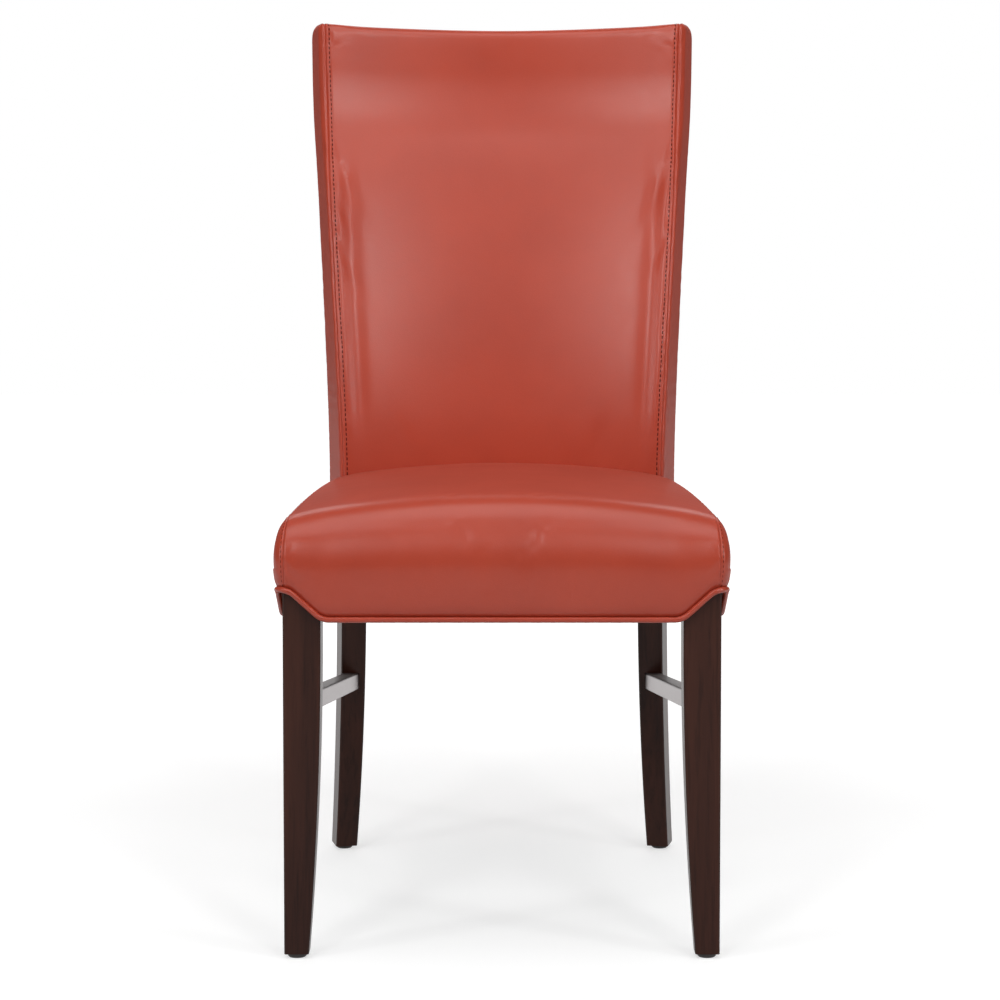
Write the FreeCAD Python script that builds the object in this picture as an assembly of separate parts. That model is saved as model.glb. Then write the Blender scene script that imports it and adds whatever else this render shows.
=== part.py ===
import FreeCAD, Part
import math
import os

os.makedirs("parts", exist_ok=True)

# Leather dining chair with a high curved back, tapered front legs and sabre rear posts.
# Millimetres, +Z up, floor at Z = 0. +X is the sitter's left, on the right seen from the front.
# While the pieces are made, Y = 0 is the front of the seat and Y grows towards the back.
# Each piece is moved at the end, so that the chair's depth is centred on the origin.

V = FreeCAD.Vector
UP = V(0, 0, 1)

# Overall sizes
CHAIR_HEIGHT = 1042.0
SEAT_HEIGHT = 500.0          # top of the seat's crown
SEAT_BOTTOM = 363.0          # middle of the welt round the lower edge
SEAT_FRONT_WIDTH = 479.0
SEAT_REAR_WIDTH = 418.8
SEAT_DEPTH = 480.0           # front of the seat to the rear end of its side panels

# Cover and padding
LEATHER = 1.6
FIT_GAP = 0.3                # room between a soft piece and what it lies on
SEAM_GAP = 0.4               # groove between two sewn panels
WELT_RADIUS = 3.0
FRONT_PADDING = 29.6         # posts to the front of the back, leather included
REAR_PADDING = 7.6           # posts to the rear of the back, leather included
SIDE_PADDING = 6.6           # posts to the sides of the back, leather included
TOP_PADDING = 14.0

# The back is turned about an upright axis in front of the chair
POST_RADIUS = 813.0          # axis to the front faces of the posts, at the seat
POST_SPACING = 365.8         # between the middles of the posts' front faces
POST_SET_BACK = 3.0          # front faces of the posts behind the seat's side panels
POST_WIDTH = 31.0
POST_DEPTH = 39.0
FOOT_NARROWING = 4.0         # taken off the inner side of a post at its foot
BACK_SWEEP = 20.0            # half angle that a curved rail is turned through, before trimming
BACK_TOP_FRONT_ROLL = 16.0
BACK_TOP_REAR_ROLL = 20.0
BACK_SIDE_ROLL = 9.0
BACK_SEAM_INSET = 7.0
REAR_SEAM_DROP = 28.0        # rear seam below the top
GUSSET_LEAD = 5.0            # lower ends of the side panels ahead of the posts

# Lean of the posts' front faces, degrees from upright, at five heights
FOOT_LEAN = 16.7
FOOT_BEND_HEIGHT = 360.0
BACK_BEND_HEIGHT = 470.0
LOW_LEAN_HEIGHT = 560.0
LOW_LEAN = 9.0
HIGH_LEAN_HEIGHT = 900.0
HIGH_LEAN = 21.5
TOP_LEAN_HEIGHT = 985.0
TOP_LEAN = 4.0
FACE_TAPER = 1.0             # degrees by which each face leans less than the one before it
FOOT_TAPER = 0.9

# Legs and feet
GLIDE_HEIGHT = 5.0
GLIDE_DIAMETER = 20.0
NAIL_DIAMETER = 3.0
NAIL_LENGTH = 16.0
LEG_SIZE = 40.0
LEG_FOOT_SIZE = 26.0
LEG_TAPER_TOP = 350.0
LEG_RECESS = 7.5             # leg faces behind the skirt's face
LEG_EDGE = 1.5               # eased edges of the legs and posts

# Seat frame
RAIL_THICKNESS = 22.0
RAIL_BOTTOM = 366.3
RAIL_TOP = 430.0
FRONT_RAIL_SET_BACK = 4.0    # behind the legs' front faces
SIDE_RAIL_SET_IN = 2.7       # inside the legs' outer faces
REAR_RAIL_SET_BACK = 9.0     # behind the posts' front faces
TENON_LENGTH = 12.0
TENON_THICKNESS = 10.0
TENON_SHOULDER = 10.0
JOINT_GAP = 0.2
BLOCK_REACH = 50.0
BLOCK_HEIGHT = 25.0
SCREW_DIAMETER = 4.0
SCREW_HEAD = 8.0
SCREW_HEAD_HEIGHT = 3.0
SCREW_BITE = 16.0            # screw length in the leg or post

# Back frame: each rail from one height to another
CREST_RAIL_HEIGHT = 62.0
MID_RAIL = (700.0, 750.0)
LOWER_RAIL = (500.0, 555.0)
BACK_RAIL_THICKNESS = 22.0

# Webbing
WEB_THICKNESS = 1.2
WEB_WIDTH = 50.0
WEB_GAP = 0.3
LONG_WEB_COUNT = 4
CROSS_WEB_COUNT = 5
WEB_RAMP = 20.0
WEB_SET_BACK = 5.0           # ends of the straps inside the rails' outer faces
BACK_WEB_SET_BACK = 5.0      # ends of the upright straps inside the rails' edges
BACK_WEB_COUNT = 3

# Seat cushion
CROWN_ACROSS = 1250.0        # radius of the crown from side to side
CROWN_ALONG = 4000.0         # radius of the crown from front to back
CROWN_PEAK_Y = 300.0
SEAT_FRONT_ROLL = 34.0       # top roll along the front
SEAT_SIDE_ROLL = 20.0        # top roll along the sides
SEAT_CORNER = 14.0           # plan radius of the upright corners
SEAT_DRAW_IN = 1.0           # how far the sides are drawn in at the welt
SEAT_SEAM_INSET = 16.5

# Rise of the lower edge over each front leg
SKIRT_RISE = 31.5
SKIRT_SLOPE = 42.0
SKIRT_BEND = 22.0

# Steel side bars
BAR_SIZE = 20.0
BAR_WALL = 1.5
BAR_CORNER = 2.0
BAR_SEAT = 8.0               # depth of the bar's socket in a leg
BAR_FRONT_X = 210.5
BAR_FRONT_Z = 269.0
BAR_REAR_OFFSET = 4.0        # outwards from the post's middle
BAR_REAR_Z = 222.4
PLUG_LENGTH = 18.0
STUD_DIAMETER = 6.0
STUD_IN_LEG = 10.0

DUST_COVER = 1.0
DUST_COVER_INSET = 6.6       # edge of the cloth inside the rails' outer faces
WEB_CLEARANCE = 1.0          # between the woven straps and the foam

# Fineness of the soft forms, which are lofts with straight rulings
LOFT_ERROR = 0.25            # most that a ruling may stand off the true curve of the back
ROLL_STEPS = 4               # sections in a rolled edge
CROWN_STEPS = 4              # sections along the seat's crown
WELT_SIDES = 8

# Worked out from the sizes above
POST_FRONT_Y = SEAT_DEPTH + POST_SET_BACK
POST_ANGLE = math.degrees(math.asin(POST_SPACING / 2 / POST_RADIUS))
AXIS_Y = POST_FRONT_Y - POST_RADIUS * math.cos(math.radians(POST_ANGLE))
AXIS = V(0, AXIS_Y, 0)
SIDE_ANGLE = POST_ANGLE + math.degrees(
    math.atan((POST_WIDTH / 2 + SIDE_PADDING) / (POST_RADIUS + POST_DEPTH)))
SEAT_SLANT = math.atan((SEAT_FRONT_WIDTH - SEAT_REAR_WIDTH) / 2 / SEAT_DEPTH)
LEATHER_INSIDE = LEATHER + FIT_GAP
POST_TOP = CHAIR_HEIGHT - TOP_PADDING
FOAM_BOTTOM = RAIL_TOP + 2 * WEB_THICKNESS + 2 * WEB_GAP + WEB_CLEARANCE
COVER_BOTTOM = SEAT_BOTTOM + WELT_RADIUS + FIT_GAP


# Small helpers

def mirrored(shape):
    return shape.mirror(V(0, 0, 0), V(1, 0, 0))


def mirrored_point(point):
    return V(-point.x, point.y, point.z)


def box(x0, x1, y0, y1, z0, z1):
    return Part.makeBox(x1 - x0, y1 - y0, z1 - z0, V(x0, y0, z0))


def prism(points, depth):
    """A closed outline of straight sides, pushed along a vector."""
    wire = Part.makePolygon(points + [points[0]])
    return Part.Face(wire).extrude(depth)


def face_of(edges):
    return Part.Face(Part.Wire(Part.__sortEdges__(edges)))


def line(start, end):
    return Part.LineSegment(start, end).toShape()


def arc(start, middle, end):
    return Part.Arc(start, middle, end).toShape()


def turned(shape, angle):
    """A shape modelled on the chair's middle plane, turned about the back's axis."""
    result = shape.copy()
    result.rotate(AXIS, UP, -angle)
    return result


def fused(shapes):
    return shapes[0].fuse(shapes[1:]).removeSplitter()


def spread(start, end, steps):
    """Evenly spaced values from start to end."""
    return [start + (end - start) * i / steps for i in range(steps + 1)]


def roll_in(radius, below_top):
    """How far a rolled edge is drawn in at a distance below its top."""
    if below_top >= radius:
        return 0.0
    return radius - math.sqrt(radius ** 2 - (radius - below_top) ** 2)


def roll_depths(radius):
    """Distances below the top of a rolled edge, evenly spaced in angle, from the top down."""
    angles = spread(0, math.pi / 2, ROLL_STEPS)
    return [radius * (1 - math.cos(angle)) for angle in angles]


def corner_arc(centre, start, end):
    """The short arc from start to end about centre."""
    bulge = (start - centre) + (end - centre)
    bulge.normalize()
    return arc(start, centre + bulge * (start - centre).Length, end)


def soft_loft(outlines):
    """A closed solid through outlines that all have the same edges, with straight rulings."""
    wires = [Part.Wire(edges) for edges in outlines]
    return Part.makeLoft(wires, True, True)


# Side view of the back and posts

class SideLine:
    """A line of the side view made of tangent arcs: radius from the axis against height.

    It is upright at its given radius where the back meets the seat, and leans as its
    stations say. A station is a height and a lean in degrees, from the floor up."""

    def __init__(self, radius, stations):
        self.stations = stations
        self.start = 0.0
        self.start = radius - self.at(BACK_BEND_HEIGHT)

    def shift(self, distance):
        moved = SideLine(0.0, self.stations)
        moved.start = self.start + distance
        return moved

    def pieces(self):
        return zip(self.stations, self.stations[1:])

    def gain(self, low, high, z):
        """Change of radius from the piece's lower end up to height z."""
        lean_low = math.radians(low[1])
        lean_high = math.radians(high[1])
        if abs(lean_high - lean_low) < 1e-9:
            return (z - low[0]) * math.tan(lean_low)
        bend = (high[0] - low[0]) / (math.sin(lean_high) - math.sin(lean_low))
        lean = math.asin(math.sin(lean_low) + (z - low[0]) / bend)
        return bend * (math.cos(lean_low) - math.cos(lean))

    def at(self, z):
        radius = self.start
        for low, high in self.pieces():
            if z > low[0]:
                radius += self.gain(low, high, min(z, high[0]))
        return radius

    def point(self, z):
        return V(0, AXIS_Y + self.at(z), z)

    def heights(self, bottom, top):
        """Heights close enough for straight rulings between them."""
        result = [bottom]
        for low, high in self.pieces():
            z0 = max(bottom, low[0])
            z1 = min(top, high[0])
            if z1 - z0 < LOFT_ERROR:
                continue
            turn = abs(math.sin(math.radians(high[1])) - math.sin(math.radians(low[1])))
            longest = high[0] - low[0]
            if turn > 0:
                longest = math.sqrt(8 * LOFT_ERROR * longest / turn)
            result += spread(z0, z1, math.ceil((z1 - z0) / longest))[1:]
        return result

    def edges(self, bottom, top):
        result = []
        for low, high in self.pieces():
            z0 = max(bottom, low[0])
            z1 = min(top, high[0])
            if z1 - z0 < 1e-6:
                continue
            if abs(low[1] - high[1]) < 1e-9:
                result.append(line(self.point(z0), self.point(z1)))
            else:
                result.append(arc(self.point(z0), self.point((z0 + z1) / 2), self.point(z1)))
        return result


def leaning_line(radius, taper, foot_taper):
    stations = [
        (GLIDE_HEIGHT, -(FOOT_LEAN - foot_taper)),
        (FOOT_BEND_HEIGHT, 0.0),
        (BACK_BEND_HEIGHT, 0.0),
        (LOW_LEAN_HEIGHT, LOW_LEAN - taper),
        (HIGH_LEAN_HEIGHT, HIGH_LEAN - taper),
        (TOP_LEAN_HEIGHT, TOP_LEAN - taper),
        (CHAIR_HEIGHT * 1.1, TOP_LEAN - taper),
    ]
    return SideLine(radius, stations)


POST_FRONT = leaning_line(POST_RADIUS, 0.0, 0.0)
POST_REAR = leaning_line(POST_RADIUS + POST_DEPTH, FACE_TAPER, FOOT_TAPER)
BACK_FRONT = leaning_line(POST_RADIUS - FRONT_PADDING, -FACE_TAPER, 0.0)
BACK_REAR = POST_REAR.shift(REAR_PADDING)
CHAIR_FRONT = LEATHER / 2 - WELT_RADIUS
CHAIR_REAR = AXIS_Y + BACK_REAR.at(CHAIR_HEIGHT - BACK_TOP_REAR_ROLL)


def side_profile(front, rear, bottom, top):
    edges = front.edges(bottom, top) + rear.edges(bottom, top)
    edges.append(line(front.point(bottom), rear.point(bottom)))
    edges.append(line(front.point(top), rear.point(top)))
    return face_of(edges)


def ring(front, rear, bottom, top):
    """The side profile turned about the axis, wider than the back."""
    profile = side_profile(front, rear, bottom, top)
    profile.rotate(AXIS, UP, -BACK_SWEEP)
    return profile.revolve(AXIS, UP, 2 * BACK_SWEEP)


def wedge(half_angle, inset, bottom, top):
    """Upright wedge from the axis; its sides stand inside the two plan lines by inset."""
    half = math.radians(half_angle)
    reach = 2 * POST_RADIUS
    apex = V(0, AXIS_Y + inset / math.sin(half), bottom)
    right = apex + V(reach * math.sin(half), reach * math.cos(half), 0)
    left = apex + V(-reach * math.sin(half), reach * math.cos(half), 0)
    return prism([apex, right, left], V(0, 0, top - bottom))


def slab_outline(height, front, rear, half_angle, inset, corner):
    """Plan of a curved slab: arcs about the axis at two radii, between two radial planes.

    Its sides stand inside the planes by inset, and corner is the radius of its corners."""
    side = math.radians(half_angle)

    def place(across, along):
        x = along * math.sin(side) + across * math.cos(side)
        y = along * math.cos(side) - across * math.sin(side)
        return V(x, AXIS_Y + y, height)

    axis = V(0, AXIS_Y, height)
    ends = []
    arcs = []
    for radius, out in ((front, 1), (rear, -1)):
        centre_radius = radius + out * corner
        along = math.sqrt(centre_radius ** 2 - (inset + corner) ** 2)
        centre = place(-inset - corner, along)
        on_side = place(-inset, along)
        on_arc = axis + (centre - axis) * (radius / centre_radius)
        ends.append((on_arc, on_side))
        if corner > 0:
            arcs.append(corner_arc(centre, on_arc, on_side))
    (front_arc, front_side), (rear_arc, rear_side) = ends
    edges = [arc(mirrored_point(front_arc), V(0, AXIS_Y + front, height), front_arc)]
    edges += arcs[:1]
    edges.append(line(front_side, rear_side))
    edges += arcs[1:]
    edges.append(arc(rear_arc, V(0, AXIS_Y + rear, height), mirrored_point(rear_arc)))
    edges += [mirrored(edge) for edge in arcs[1:]]
    edges.append(line(mirrored_point(rear_side), mirrored_point(front_side)))
    edges += [mirrored(edge) for edge in arcs[:1]]
    return edges


def slab(front, rear, half_angle, inset, bottom, top):
    """A curved slab between two lines of the side view."""
    return soft_loft([slab_outline(z, front.at(z), rear.at(z), half_angle, inset, 0)
                      for z in POST_FRONT.heights(bottom, top)])


def back_form(inset, bottom):
    """The upholstered back as one solid, drawn in by inset all round."""
    top = CHAIR_HEIGHT - inset
    front_roll = BACK_TOP_FRONT_ROLL - inset
    rear_roll = BACK_TOP_REAR_ROLL - inset
    side_roll = BACK_SIDE_ROLL - inset
    levels = POST_FRONT.heights(bottom, top - rear_roll)
    levels += [top - depth for depth in reversed(roll_depths(rear_roll)[:-1])]
    outlines = []
    for z in levels:
        front = BACK_FRONT.at(z) + inset + roll_in(front_roll, top - z)
        rear = BACK_REAR.at(z) - inset - roll_in(rear_roll, top - z)
        side = inset + roll_in(side_roll, top - z)
        outlines.append(slab_outline(z, front, rear, SIDE_ANGLE, side, side_roll))
    return soft_loft(outlines)


# Seat form

def side_x(y):
    """Half width of the seat at its fullest, at a distance from its front."""
    return SEAT_FRONT_WIDTH / 2 - y * math.tan(SEAT_SLANT)


def crown_height(y):
    """Height of the crown's middle line at a distance from the seat's front."""
    return SEAT_HEIGHT - CROWN_ALONG + math.sqrt(CROWN_ALONG ** 2 - (y - CROWN_PEAK_Y) ** 2)


def seat_section(y, inset, side_in, top_in):
    """The seat's outline square on to its depth: slightly drawn-in sides, rolls and crown."""
    half = side_x(y) - (inset + side_in) / math.cos(SEAT_SLANT)
    low = SEAT_BOTTOM - 2 * WELT_RADIUS
    roll = SEAT_SIDE_ROLL - inset
    crown = CROWN_ACROSS - inset
    crown_middle = V(0, y, crown_height(y) - inset - top_in - crown)
    rise = math.sqrt((crown - roll) ** 2 - (half - roll) ** 2)
    roll_middle = crown_middle + V(half - roll, 0, rise)
    roll_start = roll_middle + V(roll, 0, 0)
    roll_end = crown_middle + (roll_middle - crown_middle) * (crown / (crown - roll))
    foot = V(half - SEAT_DRAW_IN, y, low)
    right = [
        line(foot, roll_start),
        corner_arc(roll_middle, roll_start, roll_end),
    ]
    top = arc(roll_end, crown_middle + V(0, 0, crown), mirrored_point(roll_end))
    left = [mirrored(edge) for edge in reversed(right)]
    return [line(mirrored_point(foot), foot)] + right + [top] + left


def seat_form(inset):
    """The seat cushion as one solid, drawn in by inset all round."""
    front_roll = SEAT_FRONT_ROLL - inset
    corner = SEAT_CORNER - inset
    sections = []
    for depth in roll_depths(front_roll):
        sections.append(seat_section(inset + depth, inset, roll_in(corner, depth),
                                     roll_in(front_roll, depth)))
    rear = SEAT_DEPTH - inset
    # The last of these stands just ahead of the back, so that the back cuts a short piece
    for y in spread(SEAT_FRONT_ROLL, SEAT_DEPTH - FRONT_PADDING, CROWN_STEPS)[1:]:
        sections.append(seat_section(y, inset, 0, 0))
    for depth in reversed(roll_depths(corner)):
        sections.append(seat_section(rear - depth, inset, roll_in(corner, depth),
                                     roll_in(corner, depth)))
    return soft_loft(sections)


def skirt_run():
    """Length of the rise of the lower edge, seen square on."""
    slope = math.radians(SKIRT_SLOPE)
    straight = (SKIRT_RISE - 2 * SKIRT_BEND * (1 - math.cos(slope))) / math.sin(slope)
    return 2 * SKIRT_BEND * math.sin(slope) + straight * math.cos(slope)


def skirt_rise_edges(place, offset):
    """The rise as arc, straight and arc. place turns a run and a height into a point."""
    slope = math.radians(SKIRT_SLOPE)
    low = SKIRT_BEND - offset
    high = SKIRT_BEND + offset
    run = skirt_run()
    top = SEAT_BOTTOM + SKIRT_RISE

    def lower(angle):
        return place(low * math.sin(angle), SEAT_BOTTOM + SKIRT_BEND - low * math.cos(angle))

    def upper(angle):
        return place(run - high * math.sin(angle), top - SKIRT_BEND + high * math.cos(angle))

    return [
        arc(lower(0), lower(slope / 2), lower(slope)),
        line(lower(slope), upper(slope)),
        arc(upper(slope), upper(slope / 2), upper(0)),
    ]


def welt_corner():
    """Plan of the welt at the right front corner: start, middle and end of its arc."""
    inset = LEATHER / 2
    corner = V(side_x(inset) - (SEAT_DRAW_IN + inset) / math.cos(SEAT_SLANT), inset, 0)
    before = V(-1, 0, 0)
    after = V(-math.sin(SEAT_SLANT), math.cos(SEAT_SLANT), 0)
    radius = SEAT_CORNER - inset
    half = before.getAngle(after) / 2
    inward = before + after
    inward.normalize()
    start = corner + before * (radius / math.tan(half))
    end = corner + after * (radius / math.tan(half))
    middle = corner + inward * (radius / math.sin(half) - radius)
    return start, middle, end, after


CORNER_START, CORNER_MIDDLE, CORNER_END, SIDE_WAY = welt_corner()
FAR = SEAT_FRONT_WIDTH


def corner_cut(offset):
    """What is cut from the cover over the right front leg, offset above the welt's line."""
    run = skirt_run()
    top = SEAT_BOTTOM + SKIRT_RISE + offset
    low = SEAT_BOTTOM - WELT_RADIUS * 5
    x0 = CORNER_START.x - run
    y1 = CORNER_END.y + run

    def front_place(s, z):
        return V(x0 + s, -FAR, z)

    def side_place(s, z):
        return V(0, y1 - s, z)

    bottom_edge = SEAT_BOTTOM + offset
    front = skirt_rise_edges(front_place, offset)
    front += [
        line(front_place(run, top), front_place(FAR, top)),
        line(front_place(FAR, top), front_place(FAR, low)),
        line(front_place(FAR, low), front_place(0, low)),
        line(front_place(0, low), front_place(0, bottom_edge)),
    ]
    side = skirt_rise_edges(side_place, offset)
    side += [
        line(side_place(run, top), side_place(FAR, top)),
        line(side_place(FAR, top), side_place(FAR, low)),
        line(side_place(FAR, low), side_place(0, low)),
        line(side_place(0, low), side_place(0, bottom_edge)),
    ]
    front_solid = face_of(front).extrude(V(0, 2 * FAR, 0))
    side_solid = face_of(side).extrude(V(2 * FAR, 0, 0))
    return front_solid.common(side_solid)


# Wooden legs and posts

LEG_OUTER_X = side_x(0) - SEAT_DRAW_IN - LEG_RECESS
LEG_FRONT_Y = SEAT_DRAW_IN + LEG_RECESS
LEG_INNER_X = LEG_OUTER_X - LEG_SIZE
LEG_REAR_Y = LEG_FRONT_Y + LEG_SIZE


def long_edges(shape, low, high):
    """Upright edges of a leg, for easing."""
    result = []
    for edge in shape.Edges:
        box_ = edge.BoundBox
        if box_.ZLength > 2 * LEG_EDGE and box_.ZMin > low - 0.01 and box_.ZMax < high + 0.01:
            result.append(edge)
    return result


def leg_view(place):
    """One view of a front leg: straight outside, curved taper inside."""
    taken = LEG_SIZE - LEG_FOOT_SIZE
    height = LEG_TAPER_TOP - GLIDE_HEIGHT
    bend = (height ** 2 + taken ** 2) / (2 * taken)
    half_angle = math.asin(height / bend) / 2
    middle_in = bend * (1 - math.cos(half_angle))
    middle_z = LEG_TAPER_TOP - bend * math.sin(half_angle)
    return face_of([
        line(place(0, GLIDE_HEIGHT), place(0, RAIL_TOP)),
        line(place(0, RAIL_TOP), place(LEG_SIZE, RAIL_TOP)),
        line(place(LEG_SIZE, RAIL_TOP), place(LEG_SIZE, LEG_TAPER_TOP)),
        arc(place(LEG_SIZE, LEG_TAPER_TOP), place(LEG_SIZE - middle_in, middle_z),
            place(LEG_FOOT_SIZE, GLIDE_HEIGHT)),
        line(place(LEG_FOOT_SIZE, GLIDE_HEIGHT), place(0, GLIDE_HEIGHT)),
    ])


def leg_blank():
    front = leg_view(lambda s, z: V(LEG_OUTER_X - s, 0, z)).extrude(V(0, 2 * LEG_SIZE, 0))
    side = leg_view(lambda s, z: V(0, LEG_FRONT_Y + s, z)).extrude(V(2 * LEG_OUTER_X, 0, 0))
    blank = front.common(side)
    return blank.makeChamfer(LEG_EDGE, long_edges(blank, GLIDE_HEIGHT, RAIL_TOP))


def post_blank():
    """A rear post on the middle plane; its inner side is at -X."""
    half = POST_WIDTH / 2
    profile = side_profile(POST_FRONT, POST_REAR, GLIDE_HEIGHT, POST_TOP)
    profile.translate(V(-half, 0, 0))
    blank = profile.extrude(V(POST_WIDTH, 0, 0))
    height = FOOT_BEND_HEIGHT - GLIDE_HEIGHT
    bend = (height ** 2 + FOOT_NARROWING ** 2) / (2 * FOOT_NARROWING)
    half_angle = math.asin(height / bend) / 2
    y0 = AXIS_Y
    foot = V(-half + FOOT_NARROWING, y0, GLIDE_HEIGHT)
    middle = V(-half + bend * (1 - math.cos(half_angle)), y0,
               FOOT_BEND_HEIGHT - bend * math.sin(half_angle))
    bend_top = V(-half, y0, FOOT_BEND_HEIGHT)
    outside = V(-half - POST_WIDTH, y0, FOOT_BEND_HEIGHT)
    corner = V(-half - POST_WIDTH, y0, GLIDE_HEIGHT)
    narrowing = face_of([
        arc(foot, middle, bend_top),
        line(bend_top, outside),
        line(outside, corner),
        line(corner, foot),
    ]).extrude(V(0, 2 * POST_RADIUS, 0))
    blank = blank.cut(narrowing)
    return blank.makeChamfer(LEG_EDGE, long_edges(blank, GLIDE_HEIGHT, POST_TOP))


# Seat rails and their tenons

FRONT_RAIL_Y = LEG_FRONT_Y + FRONT_RAIL_SET_BACK
FRONT_RAIL_REAR_Y = FRONT_RAIL_Y + RAIL_THICKNESS
TENON_LOW = RAIL_BOTTOM + TENON_SHOULDER
TENON_HIGH = RAIL_TOP - TENON_SHOULDER
SIDE_RAIL_OUTER_X = LEG_OUTER_X - SIDE_RAIL_SET_IN


def post_point(across, out, height):
    """A point by the right post: across its width, out along its plane from its front face."""
    angle = math.radians(POST_ANGLE)
    radius = POST_RADIUS + out
    x = radius * math.sin(angle) + across * math.cos(angle)
    y = AXIS_Y + radius * math.cos(angle) - across * math.sin(angle)
    return V(x, y, height)


RAIL_END = post_point(POST_WIDTH / 2, 0, 0)
RAIL_SLOPE = (SIDE_RAIL_OUTER_X - RAIL_END.x) / (RAIL_END.y - LEG_REAR_Y)


def side_rail_x(y):
    """Inner face of a side rail at a distance from the front."""
    return SIDE_RAIL_OUTER_X - RAIL_THICKNESS - RAIL_SLOPE * (y - LEG_REAR_Y)


def side_rail_space(gap):
    """The right side rail, wider on its outer side and taller by gap."""
    plan = []
    for y, width in ((LEG_REAR_Y, 0), (LEG_REAR_Y, 1), (RAIL_END.y, 1), (RAIL_END.y, 0)):
        plan.append(V(side_rail_x(y) + width * (RAIL_THICKNESS + gap), y, RAIL_BOTTOM - gap))
    return prism(plan, V(0, 0, RAIL_TOP - RAIL_BOTTOM + 2 * gap))


def front_rail_tenon(gap):
    reach = LEG_INNER_X + TENON_LENGTH + gap
    middle = (FRONT_RAIL_Y + FRONT_RAIL_REAR_Y) / 2
    half = TENON_THICKNESS / 2 + gap
    return box(-reach, reach, middle - half, middle + half, TENON_LOW - gap, TENON_HIGH + gap)


def front_rail():
    rail = box(-LEG_INNER_X, LEG_INNER_X, FRONT_RAIL_Y, FRONT_RAIL_REAR_Y, RAIL_BOTTOM, RAIL_TOP)
    return fused([rail, front_rail_tenon(0)])


def side_rail_front_tenon(gap):
    middle = SIDE_RAIL_OUTER_X - RAIL_THICKNESS / 2
    half = TENON_THICKNESS / 2 + gap
    return box(middle - half, middle + half, LEG_REAR_Y - TENON_LENGTH - gap,
               LEG_REAR_Y + TENON_LENGTH, TENON_LOW - gap, TENON_HIGH + gap)


def side_rail_rear_tenon(gap):
    middle = (POST_WIDTH - RAIL_THICKNESS) / 2
    half = TENON_THICKNESS / 2 + gap
    y0 = AXIS_Y + POST_RADIUS
    tenon = box(middle - half, middle + half, y0 - TENON_LENGTH, y0 + TENON_LENGTH + gap,
                TENON_LOW - gap, TENON_HIGH + gap)
    return turned(tenon, POST_ANGLE)


def side_rail():
    reach = POST_FRONT_Y + POST_DEPTH
    plan = [
        V(side_rail_x(LEG_REAR_Y), LEG_REAR_Y, RAIL_BOTTOM),
        V(side_rail_x(LEG_REAR_Y) + RAIL_THICKNESS, LEG_REAR_Y, RAIL_BOTTOM),
        V(side_rail_x(reach) + RAIL_THICKNESS, reach, RAIL_BOTTOM),
        V(side_rail_x(reach), reach, RAIL_BOTTOM),
    ]
    rail = prism(plan, V(0, 0, RAIL_TOP - RAIL_BOTTOM))
    y0 = AXIS_Y + POST_RADIUS
    behind = box(-FAR, FAR, y0, y0 + FAR, 0, CHAIR_HEIGHT)
    rail = rail.cut(turned(behind, POST_ANGLE))
    return fused([rail, side_rail_front_tenon(0), side_rail_rear_tenon(0)])


def back_rail(set_back, thickness, bottom, top):
    """A curved rail between the two posts."""
    front = POST_FRONT.shift(set_back)
    rail = ring(front, front.shift(thickness), bottom, top)
    return rail.common(wedge(POST_ANGLE, POST_WIDTH / 2, bottom, top))


CREST_RAIL = (POST_TOP - CREST_RAIL_HEIGHT, POST_TOP)
SEAT_REAR_RAIL = (RAIL_BOTTOM, RAIL_TOP)
# Each curved rail: heights of its edges, and how far it stands behind the posts' front faces
CURVED_RAILS = (
    ("rear_rail", SEAT_REAR_RAIL, REAR_RAIL_SET_BACK, RAIL_THICKNESS),
    ("lower_back_rail", LOWER_RAIL, 0.0, BACK_RAIL_THICKNESS),
    ("mid_back_rail", MID_RAIL, 0.0, BACK_RAIL_THICKNESS),
    ("crest_rail", CREST_RAIL, 0.0, BACK_RAIL_THICKNESS),
)


def curved_rail_tenon(heights, set_back, thickness, gap):
    """Tenon of a curved rail in the right post; gap makes its mortise."""
    cheek = (thickness - TENON_THICKNESS) / 2 - gap
    front = POST_FRONT.shift(set_back + cheek)
    rear = POST_FRONT.shift(set_back + thickness - cheek)
    profile = side_profile(front, rear, heights[0] + TENON_SHOULDER - gap,
                           heights[1] - TENON_SHOULDER + gap)
    profile.translate(V(-POST_WIDTH / 2 - TENON_LENGTH, 0, 0))
    return turned(profile.extrude(V(2 * TENON_LENGTH + gap, 0, 0)), POST_ANGLE)


def curved_rail(heights, set_back, thickness):
    """A curved rail between the two posts, with its tenons."""
    tenon = curved_rail_tenon(heights, set_back, thickness, 0)
    return fused([back_rail(set_back, thickness, heights[0], heights[1]), tenon, mirrored(tenon)])


# Steel side bars between the front legs and the posts

def bar_ends():
    """Middle of the right bar's end faces, where it meets the leg and the post."""
    down = LEG_TAPER_TOP - BAR_FRONT_Z
    height = LEG_TAPER_TOP - GLIDE_HEIGHT
    taken = (LEG_SIZE - LEG_FOOT_SIZE) * (down / height) ** 2
    front = V(BAR_FRONT_X, LEG_REAR_Y - taken, BAR_FRONT_Z)
    out = POST_FRONT.at(BAR_REAR_Z) - POST_RADIUS
    rear = post_point(BAR_REAR_OFFSET, out, BAR_REAR_Z)
    return front, rear


BAR_FRONT, BAR_REAR = bar_ends()
BAR_WAY = (BAR_REAR - BAR_FRONT).normalize()
BAR_LENGTH = (BAR_REAR - BAR_FRONT).Length


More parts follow.
